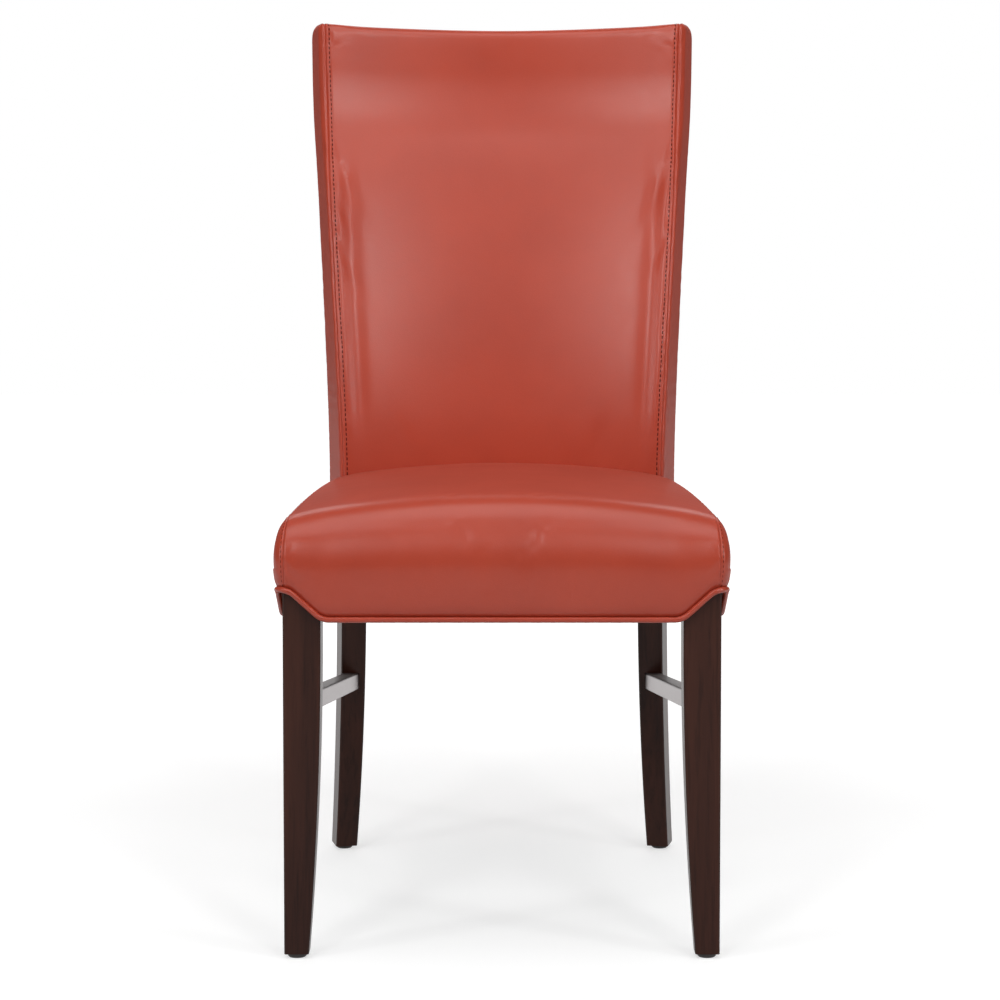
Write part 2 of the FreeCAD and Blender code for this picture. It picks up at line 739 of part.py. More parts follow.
def bar_prism(size, corner, start, length):
    """A square bar along the right bar's line, start measured from the leg's face."""
    across = UP.cross(BAR_WAY).normalize()
    rise = BAR_WAY.cross(across)
    middle = BAR_FRONT + BAR_WAY * start
    half = size / 2
    section = box(-half, half, -half, half, 0, length)
    if corner > 0:
        sides = [e for e in section.Edges if e.BoundBox.ZLength > length / 2]
        section = section.makeFillet(corner, sides)
    # The section's X, Y and Z turn to across, rise and the bar's own way
    frame = FreeCAD.Matrix(
        across.x, rise.x, BAR_WAY.x, middle.x,
        across.y, rise.y, BAR_WAY.y, middle.y,
        across.z, rise.z, BAR_WAY.z, middle.z,
        0, 0, 0, 1)
    placed = section.copy()
    placed.Placement = FreeCAD.Placement(frame)
    return placed


def stretcher_bar():
    start = -BAR_SEAT + JOINT_GAP
    length = BAR_LENGTH + 2 * (BAR_SEAT - JOINT_GAP)
    outside = bar_prism(BAR_SIZE, BAR_CORNER, start, length)
    hollow = bar_prism(BAR_SIZE - 2 * BAR_WALL, 0, start - BAR_WALL, length + 2 * BAR_WALL)
    return outside.cut(hollow)


def bar_socket(at_post):
    start = BAR_LENGTH - BAR_SEAT if at_post else -BAR_SEAT
    return bar_prism(BAR_SIZE + 2 * JOINT_GAP, 0, start, 2 * BAR_SEAT)


def along_bar(start):
    return BAR_FRONT + BAR_WAY * start


def stud(gap, at_post):
    """A stud that runs from a plug in the bar's end into the leg."""
    length = STUD_IN_LEG + PLUG_LENGTH / 2 + 2 * gap
    radius = STUD_DIAMETER / 2 + gap
    if at_post:
        start = BAR_LENGTH + BAR_SEAT - JOINT_GAP - PLUG_LENGTH / 2 - gap
    else:
        start = -BAR_SEAT + JOINT_GAP - STUD_IN_LEG - gap
    return Part.makeCylinder(radius, length, along_bar(start), BAR_WAY)


def plug(at_post):
    size = BAR_SIZE - 2 * BAR_WALL - 2 * JOINT_GAP
    start = -BAR_SEAT + JOINT_GAP
    if at_post:
        start = BAR_LENGTH + BAR_SEAT - JOINT_GAP - PLUG_LENGTH
    body = bar_prism(size, 0, start, PLUG_LENGTH)
    return body.cut(stud(JOINT_GAP / 2, at_post))


# Glides

FRONT_FOOT = V(LEG_OUTER_X - LEG_FOOT_SIZE / 2, LEG_FRONT_Y + LEG_FOOT_SIZE / 2, 0)
FOOT_OUT = (POST_FRONT.at(GLIDE_HEIGHT) + POST_REAR.at(GLIDE_HEIGHT)) / 2 - POST_RADIUS
REAR_FOOT = post_point(FOOT_NARROWING / 2, FOOT_OUT, 0)


def glide(foot):
    edge = GLIDE_HEIGHT / 4
    disc = Part.makeCylinder(GLIDE_DIAMETER / 2, GLIDE_HEIGHT, foot)
    disc = disc.makeChamfer(edge, [e for e in disc.Edges if e.BoundBox.ZMax < edge])
    nail = Part.makeCylinder(NAIL_DIAMETER / 2, NAIL_LENGTH, foot + V(0, 0, GLIDE_HEIGHT))
    return fused([disc, nail])


def nail_hole(foot):
    radius = NAIL_DIAMETER / 2 + JOINT_GAP
    return Part.makeCylinder(radius, NAIL_LENGTH + JOINT_GAP, foot + V(0, 0, GLIDE_HEIGHT))


# Corner blocks and their screws

def front_block_plan():
    y_far = LEG_REAR_Y + BLOCK_REACH
    return [
        (LEG_INNER_X - BLOCK_REACH, FRONT_RAIL_REAR_Y),
        (LEG_INNER_X, FRONT_RAIL_REAR_Y),
        (LEG_INNER_X, LEG_REAR_Y),
        (side_rail_x(LEG_REAR_Y), LEG_REAR_Y),
        (side_rail_x(y_far), y_far),
    ]


def rear_block_plan():
    half = POST_WIDTH / 2
    meet = post_point(half - RAIL_THICKNESS / math.cos(math.radians(POST_ANGLE)), 0, 0)
    y_near = meet.y - BLOCK_REACH
    inner = post_point(-half, 0, 0)
    reach = half + BLOCK_REACH
    circle = POST_RADIUS + REAR_RAIL_SET_BACK
    notch = post_point(-half, math.sqrt(circle ** 2 - half ** 2) - POST_RADIUS, 0)
    tip = post_point(-reach, math.sqrt(circle ** 2 - reach ** 2) - POST_RADIUS, 0)
    return [
        (side_rail_x(y_near), y_near),
        (side_rail_x(meet.y), meet.y),
        (inner.x, inner.y),
        (notch.x, notch.y),
        (tip.x, tip.y),
    ]


BLOCK_Z = (RAIL_BOTTOM + RAIL_TOP - BLOCK_HEIGHT) / 2


def block_screws(gap):
    """Screws of the right blocks, each through its block into the corner of the leg or post."""
    z = BLOCK_Z + BLOCK_HEIGHT / 2
    leg_corner = V(LEG_INNER_X, LEG_REAR_Y, z)
    post_corner = post_point(-POST_WIDTH / 2, 0, z)
    post_way = (post_point(0, POST_WIDTH / 2, z) - post_corner).normalize()
    result = []
    for corner, way, plan in ((leg_corner, V(1, -1, 0).normalize(), front_block_plan()),
                              (post_corner, post_way, rear_block_plan())):
        near = V(plan[0][0], plan[0][1], z)
        along = V(plan[-1][0], plan[-1][1], z) - near
        grip = (corner - near).cross(along).z / way.cross(along).z
        start = corner - way * grip
        shank = Part.makeCylinder(SCREW_DIAMETER / 2 + gap, grip + SCREW_BITE + gap, start, way)
        head = Part.makeCylinder(SCREW_HEAD / 2 + gap, SCREW_HEAD_HEIGHT, start + way * gap, way * -1)
        result.append(fused([shank, head]))
    return result


def right_blocks():
    result = []
    for plan in (front_block_plan(), rear_block_plan()):
        points = [V(x, y, BLOCK_Z) for x, y in plan]
        block = prism(points, V(0, 0, BLOCK_HEIGHT))
        result.append(block.cut(block_screws(JOINT_GAP / 2)))
    return result


# Webbing

def strap(start, overs, end, width, place):
    """A flat strap from start to end. overs are the stretches where it passes over others."""
    low = RAIL_TOP
    high = RAIL_TOP + WEB_THICKNESS + WEB_GAP
    run = [(start, low)]
    for near, far in overs:
        run += [(near - WEB_RAMP / 2, low), (near, high), (far, high), (far + WEB_RAMP / 2, low)]
    run.append((end, low))
    under = [place(s, z) for s, z in run]
    over = [place(s, z + WEB_THICKNESS) for s, z in reversed(run)]
    return prism(under + over, width)


def long_web_xs():
    """Middles of the straps from front to back, even between the side rails."""
    reach = side_rail_x(POST_FRONT_Y) + RAIL_THICKNESS
    return spread(-reach, reach, LONG_WEB_COUNT + 1)[1:-1]


def cross_web_ys():
    """Middles of the straps from side to side, even between the front and rear rails."""
    rear = AXIS_Y + POST_RADIUS + REAR_RAIL_SET_BACK
    return spread(FRONT_RAIL_REAR_Y, rear, CROSS_WEB_COUNT + 1)[1:-1]


def over_spans(middles, parity):
    spans = []
    for i, middle in enumerate(middles):
        if i % 2 == parity:
            spans.append((middle - WEB_WIDTH / 2, middle + WEB_WIDTH / 2))
    return spans


def long_webs():
    result = []
    rear_radius = POST_RADIUS + REAR_RAIL_SET_BACK
    for i, x in enumerate(long_web_xs()):
        outer = abs(x) + WEB_WIDTH / 2
        end = AXIS_Y + math.sqrt(rear_radius ** 2 - outer ** 2) + RAIL_THICKNESS - WEB_SET_BACK
        start = FRONT_RAIL_Y + WEB_SET_BACK
        place = lambda s, z, x=x: V(x - WEB_WIDTH / 2, s, z)
        overs = over_spans(cross_web_ys(), i % 2)
        result.append(strap(start, overs, end, V(WEB_WIDTH, 0, 0), place))
    return result


def cross_webs():
    result = []
    for i, y in enumerate(cross_web_ys()):
        end = side_rail_x(y + WEB_WIDTH / 2) + RAIL_THICKNESS - WEB_SET_BACK
        place = lambda s, z, y=y: V(s, y - WEB_WIDTH / 2, z)
        overs = over_spans(long_web_xs(), (i + 1) % 2)
        result.append(strap(-end, overs, end, V(0, WEB_WIDTH, 0), place))
    return result


def back_webs():
    """Upright straps over the front of the three back rails."""
    front = POST_FRONT.shift(-WEB_THICKNESS - WEB_GAP)
    band = slab(front, front.shift(WEB_THICKNESS), BACK_SWEEP, 0,
                LOWER_RAIL[0] + BACK_WEB_SET_BACK, POST_TOP - BACK_WEB_SET_BACK)
    result = []
    for angle in spread(-POST_ANGLE, POST_ANGLE, BACK_WEB_COUNT + 1)[1:-1]:
        slot = box(-WEB_WIDTH / 2, WEB_WIDTH / 2, 0, 2 * POST_RADIUS, 0, CHAIR_HEIGHT)
        result.append(band.common(turned(slot, angle)))
    return result


# Cover panels, foam and welts

def seat_side_cut(inset, outside):
    """Space outside, or inside, the two seams of the seat's side panels."""
    slack = inset / math.cos(SEAT_SLANT)
    y0 = -FAR
    y1 = 2 * FAR
    plan = [
        V(side_x(y0) - slack, y0, 0),
        V(side_x(y1) - slack, y1, 0),
        V(-side_x(y1) + slack, y1, 0),
        V(-side_x(y0) + slack, y0, 0),
    ]
    inside = prism(plan, V(0, 0, CHAIR_HEIGHT))
    if not outside:
        return inside
    return box(-3 * FAR, 3 * FAR, y0, y1, 0, CHAIR_HEIGHT).cut(inside)


def right_half():
    return box(0, 3 * FAR, -3 * FAR, 3 * FAR, -1, 2 * CHAIR_HEIGHT)


def above(height):
    return box(-3 * FAR, 3 * FAR, -3 * FAR, 3 * FAR, height, 2 * CHAIR_HEIGHT)


def only_solid(shape):
    """The largest solid of a cut, as a plain solid."""
    return max(shape.Solids, key=lambda s: s.Volume)


def seat_covers(back_space):
    shell = seat_form(0).cut(seat_form(LEATHER))
    shell = shell.common(above(COVER_BOTTOM)).cut(back_space)
    opening = corner_cut(WELT_RADIUS + FIT_GAP)
    shell = shell.cut([opening, mirrored(opening)])
    shell = shell.common(above(COVER_BOTTOM))
    main = shell.common(seat_side_cut(SEAT_SEAM_INSET + SEAM_GAP / 2, False))
    sides = shell.common(seat_side_cut(SEAT_SEAM_INSET - SEAM_GAP / 2, True))
    left_side = sides.common(right_half())
    return only_solid(main), only_solid(left_side)


def frame_space(gap):
    """What the seat frame takes up in plan, for the padding round it."""
    front = box(-LEG_INNER_X, LEG_INNER_X, FRONT_RAIL_Y - gap, SEAT_DEPTH, 0, CHAIR_HEIGHT)
    reach = POST_FRONT_Y + POST_DEPTH
    plan = []
    for y in (LEG_FRONT_Y - gap, reach):
        plan.append(V(side_rail_x(y) + RAIL_THICKNESS + gap, y, 0))
    core = prism([V(0, LEG_FRONT_Y + LEG_SIZE / 2, 0), V(plan[0].x, LEG_FRONT_Y + LEG_SIZE / 2, 0),
                  plan[1], V(0, reach, 0)], V(0, 0, CHAIR_HEIGHT))
    leg = box(LEG_INNER_X - gap, LEG_OUTER_X + gap, LEG_FRONT_Y - gap, LEG_REAR_Y + gap, 0, CHAIR_HEIGHT)
    return [front, core, mirrored(core), leg, mirrored(leg)]


def seat_padding(back_space):
    """Foam above the webbing, and the thin pad round the outside of the frame."""
    inside = seat_form(LEATHER_INSIDE).cut(back_space)
    foam = inside.common(above(FOAM_BOTTOM))
    pad = inside.common(above(COVER_BOTTOM + FIT_GAP)).cut(above(FOAM_BOTTOM - FIT_GAP))
    opening = corner_cut(WELT_RADIUS + 2 * FIT_GAP)
    pad = pad.cut(frame_space(FIT_GAP) + [opening, mirrored(opening)])
    return only_solid(foam), only_solid(pad)


def pipe(edges, radius):
    path = Part.Wire(Part.__sortEdges__(edges))
    start = path.Edges[0]
    point = start.valueAt(start.FirstParameter)
    way = start.tangentAt(start.FirstParameter)
    half_side = math.pi / WELT_SIDES
    across = way.cross(UP).normalize()
    rise = across.cross(way)
    corners = []
    for i in range(WELT_SIDES + 1):
        angle = half_side * (2 * i + 1)
        reach = radius / math.cos(half_side)
        corners.append(point + across * (reach * math.cos(angle)) + rise * (reach * math.sin(angle)))
    section = Part.makePolygon(corners)
    tube = path.makePipeShell([section], True, False)
    expected = WELT_SIDES * radius ** 2 * math.tan(half_side) * path.Length
    print("welt", round(tube.Volume), "of", round(expected))
    return tube


def seat_welt():
    run = skirt_run()
    lift = V(0, 0, SEAT_BOTTOM + SKIRT_RISE)
    x0 = CORNER_START.x - run
    side_low = CORNER_END + SIDE_WAY * run
    front_end = V(x0, CORNER_START.y, SEAT_BOTTOM)

    def front_place(s, z):
        return V(x0 + s, CORNER_START.y, z)

    def side_place(s, z):
        return V(0, 0, z) + CORNER_END + SIDE_WAY * (run - s)

    straight = (SEAT_DEPTH - SEAT_CORNER - side_low.y) / SIDE_WAY.y
    side_end = side_low + SIDE_WAY * straight + V(0, 0, SEAT_BOTTOM)
    half = skirt_rise_edges(front_place, 0)
    half.append(arc(CORNER_START + lift, CORNER_MIDDLE + lift, CORNER_END + lift))
    half += skirt_rise_edges(side_place, 0)
    half.append(line(side_low + V(0, 0, SEAT_BOTTOM), side_end))
    edges = half + [mirrored(edge) for edge in half]
    edges.append(line(V(-front_end.x, front_end.y, SEAT_BOTTOM), front_end))
    return pipe(edges, WELT_RADIUS)


GUSSET_FOOT_RADIUS = POST_RADIUS - GUSSET_LEAD
AHEAD = 120.0                # reach of a cutting space past the back
BELOW = 10.0                 # and below its lower edge


def back_welt():
    """Welt under the rear panel and the feet of the side panels."""
    inset = LEATHER / 2
    rear = BACK_REAR.at(SEAT_BOTTOM) - inset
    outline = slab_outline(SEAT_BOTTOM, GUSSET_FOOT_RADIUS, rear, SIDE_ANGLE, inset,
                           BACK_SIDE_ROLL - inset)
    # Without the front arc and the two corners beside it
    return pipe(outline[2:7], WELT_RADIUS)


def back_covers():
    low = COVER_BOTTOM
    shell = back_form(0, low).cut(back_form(LEATHER, low - BELOW))
    foot = POST_FRONT.shift(GUSSET_FOOT_RADIUS - POST_RADIUS)
    below_seat = slab(foot.shift(-AHEAD), foot, BACK_SWEEP, 0, low - BELOW, FOAM_BOTTOM)
    shell = shell.cut(below_seat)
    inner = wedge(SIDE_ANGLE, BACK_SEAM_INSET, 0, 2 * CHAIR_HEIGHT)
    left_side = only_solid(shell.cut(inner).common(right_half()))
    panels = shell.common(wedge(SIDE_ANGLE, BACK_SEAM_INSET + SEAM_GAP, 0, 2 * CHAIR_HEIGHT))
    middle = POST_FRONT.shift(POST_DEPTH / 3)
    seam = CHAIR_HEIGHT - REAR_SEAM_DROP
    rear_space = slab(middle, middle.shift(AHEAD), BACK_SWEEP, 0, low - BELOW, seam)
    rear = only_solid(panels.common(rear_space))
    front_space = slab(middle, middle.shift(AHEAD), BACK_SWEEP, 0, low - BELOW, seam + SEAM_GAP)
    front = only_solid(panels.cut(front_space))
    return front, rear, left_side


def back_padding():
    """Foam in front of the posts, and the thin wrap round their sides, rear and top."""
    low = COVER_BOTTOM + FIT_GAP
    web_face = POST_FRONT.shift(-WEB_THICKNESS - 2 * WEB_GAP)
    form = back_form(LEATHER_INSIDE, low)
    front_space = slab(web_face.shift(-AHEAD), web_face, BACK_SWEEP, 0, FOAM_BOTTOM + FIT_GAP,
                       CHAIR_HEIGHT)
    foam = form.common(front_space)
    behind = slab(web_face.shift(FIT_GAP), web_face.shift(AHEAD), BACK_SWEEP, 0, low - BELOW,
                  CHAIR_HEIGHT)
    gap = FIT_GAP + LOFT_ERROR
    pocket = slab(web_face.shift(-AHEAD), POST_REAR.shift(gap), POST_ANGLE,
                  -POST_WIDTH / 2 - gap, low - BELOW, POST_TOP + gap)
    rail = side_rail_space(FIT_GAP)
    wrap = form.common(behind).cut([pocket, rail, mirrored(rail)])
    return only_solid(foam), only_solid(wrap)


def dust_cover():
    """Thin cloth under the seat frame, cut round the legs and curved along the rear rail."""
    edge = DUST_COVER_INSET
    rear_radius = POST_RADIUS + REAR_RAIL_SET_BACK + RAIL_THICKNESS - edge
    reach = AXIS_Y + rear_radius
    plan = [
        V(-LEG_INNER_X, FRONT_RAIL_Y + edge, 0),
        V(LEG_INNER_X, FRONT_RAIL_Y + edge, 0),
        V(side_rail_x(LEG_FRONT_Y) + RAIL_THICKNESS - edge, LEG_REAR_Y, 0),
        V(side_rail_x(reach) + RAIL_THICKNESS - edge, reach, 0),
        V(-side_rail_x(reach) - RAIL_THICKNESS + edge, reach, 0),
        V(-side_rail_x(LEG_FRONT_Y) - RAIL_THICKNESS + edge, LEG_REAR_Y, 0),
    ]
    sheet = prism(plan, V(0, 0, DUST_COVER))
    sheet.translate(V(0, 0, RAIL_BOTTOM - DUST_COVER))
    circle = Part.makeCylinder(rear_radius, 3 * DUST_COVER, AXIS + V(0, 0, RAIL_BOTTOM - 2 * DUST_COVER))
    sheet = sheet.common(circle)
    gap = JOINT_GAP
    leg = box(LEG_INNER_X - gap, FAR, 0, LEG_REAR_Y + gap, 0, CHAIR_HEIGHT)
    half = POST_WIDTH / 2 + gap
    y0 = AXIS_Y + POST_RADIUS - gap
    post = turned(box(-half, half, y0, y0 + FAR, 0, CHAIR_HEIGHT), POST_ANGLE)
    return sheet.cut([leg, mirrored(leg), post, mirrored(post)])


# All the pieces

def save(name, shape):
    moved = shape.copy()
    moved.translate(V(0, -(CHAIR_FRONT + CHAIR_REAR) / 2, 0))
    if not moved.isValid():
        print("not valid:", name)
    moved.exportStep("parts/" + name + ".step")
    size = moved.optimalBoundingBox()
    print(name, len(moved.Solids), "solids", round(moved.Volume / 1000, 1), "cm3",
          round(size.ZMin, 1), "to", round(size.ZMax, 1))


def save_pair(name, shape):
    """The sitter's left piece is at +X; the right one is its mirror image."""
    save(name + "_left", shape)
    save(name + "_right", mirrored(shape))


def group(shapes):
    return Part.makeCompound(shapes + [mirrored(shape) for shape in shapes])


screw_holes = block_screws(JOINT_GAP / 2)

leg = leg_blank()
leg = leg.cut([front_rail_tenon(JOINT_GAP), side_rail_front_tenon(JOINT_GAP), bar_socket(False),
               stud(JOINT_GAP / 2, False), nail_hole(FRONT_FOOT)] + screw_holes)
save_pair("front_leg", leg)

mortises = [curved_rail_tenon(heights, set_back, thickness, JOINT_GAP)
            for name, heights, set_back, thickness in CURVED_RAILS]
post = turned(post_blank(), POST_ANGLE)
post = post.cut(mortises + [side_rail_rear_tenon(JOINT_GAP), bar_socket(True),
                            stud(JOINT_GAP / 2, True), nail_hole(REAR_FOOT)] + screw_holes)
save_pair("rear_post", post)

save("front_rail", front_rail())
save_pair("side_rail", side_rail())
for name, heights, set_back, thickness in CURVED_RAILS:
    save(name, curved_rail(heights, set_back, thickness))
save("corner_blocks", group(right_blocks()))
save("corner_block_screws", group(block_screws(0)))

save_pair("stretcher_bar", stretcher_bar())
save("stretcher_plugs", group([plug(False), plug(True)]))
save("stretcher_studs", group([stud(0, False), stud(0, True)]))
save("glides", group([glide(FRONT_FOOT), glide(REAR_FOOT)]))

save("seat_webbing_long", Part.makeCompound(long_webs()))
save("seat_webbing_cross", Part.makeCompound(cross_webs()))
save("back_webbing", Part.makeCompound(back_webs()))
save("dust_cover", dust_cover())

back_space = back_form(-FIT_GAP, SEAT_BOTTOM - BELOW)
foam, pad = seat_padding(back_space)
save("seat_foam", foam)
save("seat_rail_padding", pad)
main, side = seat_covers(back_space)
save("seat_cover_main", main)
save_pair("seat_cover_side", side)
save("seat_welt", seat_welt())

foam, wrap = back_padding()
save("back_foam", foam)
save("back_wrap", wrap)
front, rear, side = back_covers()
save("back_cover_front", front)
save("back_cover_rear", rear)
save_pair("back_cover_side", side)
save("back_welt", back_welt())

print("chair from", round(CHAIR_FRONT, 2), "to", round(CHAIR_REAR, 2), "axis", round(AXIS_Y, 1),
      "post angle", round(POST_ANGLE, 2), "side angle", round(SIDE_ANGLE, 2))
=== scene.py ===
import math

import bmesh
import bpy
import numpy as np
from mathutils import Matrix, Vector


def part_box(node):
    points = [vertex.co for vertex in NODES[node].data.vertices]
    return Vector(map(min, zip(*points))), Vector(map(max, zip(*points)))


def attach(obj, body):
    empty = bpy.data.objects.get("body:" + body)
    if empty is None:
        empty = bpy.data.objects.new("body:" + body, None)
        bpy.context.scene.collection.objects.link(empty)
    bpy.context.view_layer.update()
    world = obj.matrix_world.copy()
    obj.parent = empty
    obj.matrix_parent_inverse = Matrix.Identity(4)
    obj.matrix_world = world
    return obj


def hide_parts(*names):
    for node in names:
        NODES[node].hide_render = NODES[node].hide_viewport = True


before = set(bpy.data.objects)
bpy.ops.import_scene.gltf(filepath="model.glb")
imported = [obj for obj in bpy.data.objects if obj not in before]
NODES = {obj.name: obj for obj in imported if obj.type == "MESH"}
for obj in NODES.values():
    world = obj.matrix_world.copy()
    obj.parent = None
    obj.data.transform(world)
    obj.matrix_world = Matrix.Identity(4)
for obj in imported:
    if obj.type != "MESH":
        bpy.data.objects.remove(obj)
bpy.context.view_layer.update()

# Sizes in millimetres, the same as the CAD model's. While a form is worked out, Y = 0 is the
# front of the seat and Y grows towards the back, and it is moved to the row frame at the end.
CHAIR_HEIGHT = 1042.0
SEAT_HEIGHT = 500.0
SEAT_BOTTOM = 363.0
SEAT_FRONT_WIDTH = 479.0
SEAT_REAR_WIDTH = 418.8
SEAT_DEPTH = 480.0
LEATHER = 1.6
WELT_RADIUS = 3.0
FRONT_PADDING = 29.6
REAR_PADDING = 7.6
SIDE_PADDING = 6.6
POST_RADIUS = 813.0
POST_SPACING = 365.8
POST_FRONT_Y = 483.0
POST_WIDTH = 31.0
POST_DEPTH = 39.0
GUSSET_LEAD = 5.0
BACK_TOP_FRONT_ROLL = 9.0
BACK_TOP_REAR_ROLL = 20.0
BACK_SIDE_ROLL = 9.0
BACK_SEAM_INSET = 7.0
REAR_SEAM_HEIGHT = 1014.0
GLIDE_HEIGHT = 5.0
SEAT_FRONT_ROLL = 45.0
SEAT_ROLL_START = 416.0
SEAT_SIDE_ROLL = 20.0
SEAT_CORNER = 14.0
SEAT_DRAW_IN = 1.0
CROWN_ACROSS = 1250.0
CROWN_ALONG = 4000.0
CROWN_PEAK_Y = 300.0
SKIRT_RISE = 31.5
SKIRT_SLOPE = math.radians(42.0)
SKIRT_BEND = 22.0
SHIFT_Y = 330.25             # from the seat's front to the middle of the chair's depth
# Where the leather's panels start behind and under the seat
FRONT_PANEL_FOOT = 440.0
GUSSET_FOOT = 436.0
# The cover is held where it is out of sight: the back below a height, the seat behind a depth
BEHIND_SEAT = 400.0
INSIDE_BACK = 446.0
# The seat's top dips towards the back and is drawn out of it only above these heights
DIP_ABOVE = 440.0
TUCK_ABOVE = 430.0
# The back's top edge: its rise at the corners, its dip in the middle, and where both begin
CORNER_RISE = 5.4
CORNER_X = 232.0
TOP_DIP = 3.2
PADDING_DIP = 5.0
DIP_START = 930.0

POST_ANGLE = math.asin(POST_SPACING / 2 / POST_RADIUS)
AXIS_Y = POST_FRONT_Y - POST_RADIUS * math.cos(POST_ANGLE)
SIDE = POST_ANGLE + math.atan((POST_WIDTH / 2 + SIDE_PADDING) / (POST_RADIUS + POST_DEPTH))
SLANT = math.atan((SEAT_FRONT_WIDTH - SEAT_REAR_WIDTH) / 2 / SEAT_DEPTH)
COVER_BOTTOM = SEAT_BOTTOM + 0.8

rng = np.random.default_rng(7)


# Helpers

def smooth_step(x):
    x = np.clip(x, 0.0, 1.0)
    return x * x * (3 - 2 * x)


def row_frame(points):
    """Working points in millimetres to row-frame points in metres."""
    moved = np.array(points, float)
    moved[..., 1] -= SHIFT_Y
    return moved * 0.001


def placed(name, data):
    """A new object in the scene."""
    obj = bpy.data.objects.new(name, data)
    bpy.context.scene.collection.objects.link(obj)
    return obj


def dress(mesh, material):
    mesh.materials.clear()
    mesh.materials.append(material)


def new_object(name, points, faces, material):
    mesh = bpy.data.meshes.new(name)
    mesh.from_pydata([tuple(p) for p in points], [], [tuple(f) for f in faces])
    mesh.validate()
    mesh.polygons.foreach_set("use_smooth", [True] * len(mesh.polygons))
    mesh.materials.append(material)
    return placed(name, mesh)


def ride(obj, slot, *nodes):
    if nodes:
        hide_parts(*nodes)
    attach(obj, "root")
    return obj


def weld(patches):
    """Joins patches of points into one mesh.

    Returns its points and faces, each patch's point numbers, and each face's patch and row."""
    known = {}
    points = []
    faces = []
    ids = {}
    tags = []
    for name, patch in patches.items():
        rows, columns = patch.shape[:2]
        index = np.zeros((rows, columns), int)
        keys = np.round(patch * 50).astype(int)
        for j in range(rows):
            for i in range(columns):
                key = tuple(keys[j, i])
                if key not in known:
                    known[key] = len(points)
                    points.append(patch[j, i])
                index[j, i] = known[key]
        ids[name] = index
        for j in range(rows - 1):
            for i in range(columns - 1):
                loop = []
                for v in (index[j, i], index[j, i + 1], index[j + 1, i + 1], index[j + 1, i]):
                    if v not in loop:
                        loop.append(v)
                if len(loop) > 2:
                    faces.append(loop)
                    tags.append((name, j))
    return np.array(points), faces, ids, tags


def normals_of(points, faces):
    """Vertex normals of a mesh, weighted by area."""
    result = np.zeros_like(points)
    for face in faces:
        a, b, c = points[face[0]], points[face[1]], points[face[2]]
        normal = np.cross(b - a, c - a)
        if len(face) == 4:
            d = points[face[3]]
            normal = normal + np.cross(c - a, d - a)
        for v in face:
            result[v] += normal
    length = np.linalg.norm(result, axis=1)
    return result / np.maximum(length, 1e-9)[:, None]


def stretch(values, size):
    """Linear interpolation of every second row and column back to all rows and columns."""
    rows = np.linspace(0, values.shape[0] - 1, size[0])
    columns = np.linspace(0, values.shape[1] - 1, size[1])
    low = np.minimum(rows.astype(int), values.shape[0] - 2)
    part = (rows - low)[:, None, None]
    tall = values[low] * (1 - part) + values[low + 1] * part
    low = np.minimum(columns.astype(int), values.shape[1] - 2)
    part = (columns - low)[None, :, None]
    return tall[:, low] * (1 - part) + tall[:, low + 1] * part


CLOTH_PRESSURE = 3.0
CLOTH_FRAMES = 20
CLOTH_SHARE = 0.65           # how much of the simulated movement is used


def swell(points, faces, held, spare):
    """Cloth simulation of a cover under pressure from inside. held is each point's pin weight.

    spare is the cloth's slack. Returns how far each point has moved, in millimetres."""
    mesh = bpy.data.meshes.new("sim")
    mesh.from_pydata([tuple(p) for p in points * 0.001], [], [tuple(f) for f in faces])
    obj = placed("sim", mesh)
    group = obj.vertex_groups.new(name="held")
    for i, weight in enumerate(held):
        group.add([i], float(weight), "REPLACE")
    modifier = obj.modifiers.new("cloth", "CLOTH")
    cloth = modifier.settings
    cloth.quality = 6
    cloth.mass = 0.25
    cloth.tension_stiffness = 20
    cloth.compression_stiffness = 20
    cloth.shear_stiffness = 10
    cloth.bending_stiffness = 0.4
    cloth.use_pressure = True
    cloth.uniform_pressure_force = CLOTH_PRESSURE
    cloth.effector_weights.gravity = 0
    cloth.vertex_group_mass = "held"
    cloth.pin_stiffness = 2
    cloth.shrink_min = -spare
    modifier.point_cache.frame_start = 1
    modifier.point_cache.frame_end = CLOTH_FRAMES
    scene = bpy.context.scene
    for number in range(1, CLOTH_FRAMES + 1):
        scene.frame_set(number)
    evaluated = obj.evaluated_get(bpy.context.evaluated_depsgraph_get())
    moved = np.zeros(len(points) * 3)
    evaluated.data.vertices.foreach_get("co", moved)
    moved = moved.reshape(-1, 3) * 1000 - points
    bpy.data.objects.remove(obj)
    bpy.data.meshes.remove(mesh)
    scene.frame_set(1)
    return moved


def soft_move(moved, most):
    """Movement with its length eased so that it stays under the most allowed."""
    length = np.linalg.norm(moved, axis=1)
    eased = most * np.tanh(length / most)
    return moved * (eased / np.maximum(length, 1e-9))[:, None]


# Side view of the back: radius about the back's axis against height

def side_line(radius, taper, foot_taper):
    stations = (
        (GLIDE_HEIGHT, foot_taper - 16.7), (360.0, 0.0), (470.0, 0.0), (560.0, 9.0 - taper),
        (900.0, 21.5 - taper), (985.0, 4.0 - taper), (CHAIR_HEIGHT * 1.1, 4.0 - taper))

    def climb(z):
        total = 0.0
        for (z0, lean0), (z1, lean1) in zip(stations, stations[1:]):
            if z <= z0:
                break
            top = min(z, z1)
            start = math.radians(lean0)
            end = math.radians(lean1)
            if abs(end - start) < 1e-9:
                total += (top - z0) * math.tan(start)
            else:
                bend = (z1 - z0) / (math.sin(end) - math.sin(start))
                lean = math.asin(math.sin(start) + (top - z0) / bend)
                total += bend * (math.cos(start) - math.cos(lean))
        return total

    first = radius - climb(470.0)
    return lambda z: first + climb(z)


post_front_at = side_line(POST_RADIUS, 0.0, 0.0)
back_front_at = side_line(POST_RADIUS - FRONT_PADDING, -1.0, 0.0)
post_rear_at = side_line(POST_RADIUS + POST_DEPTH, 1.0, 0.9)


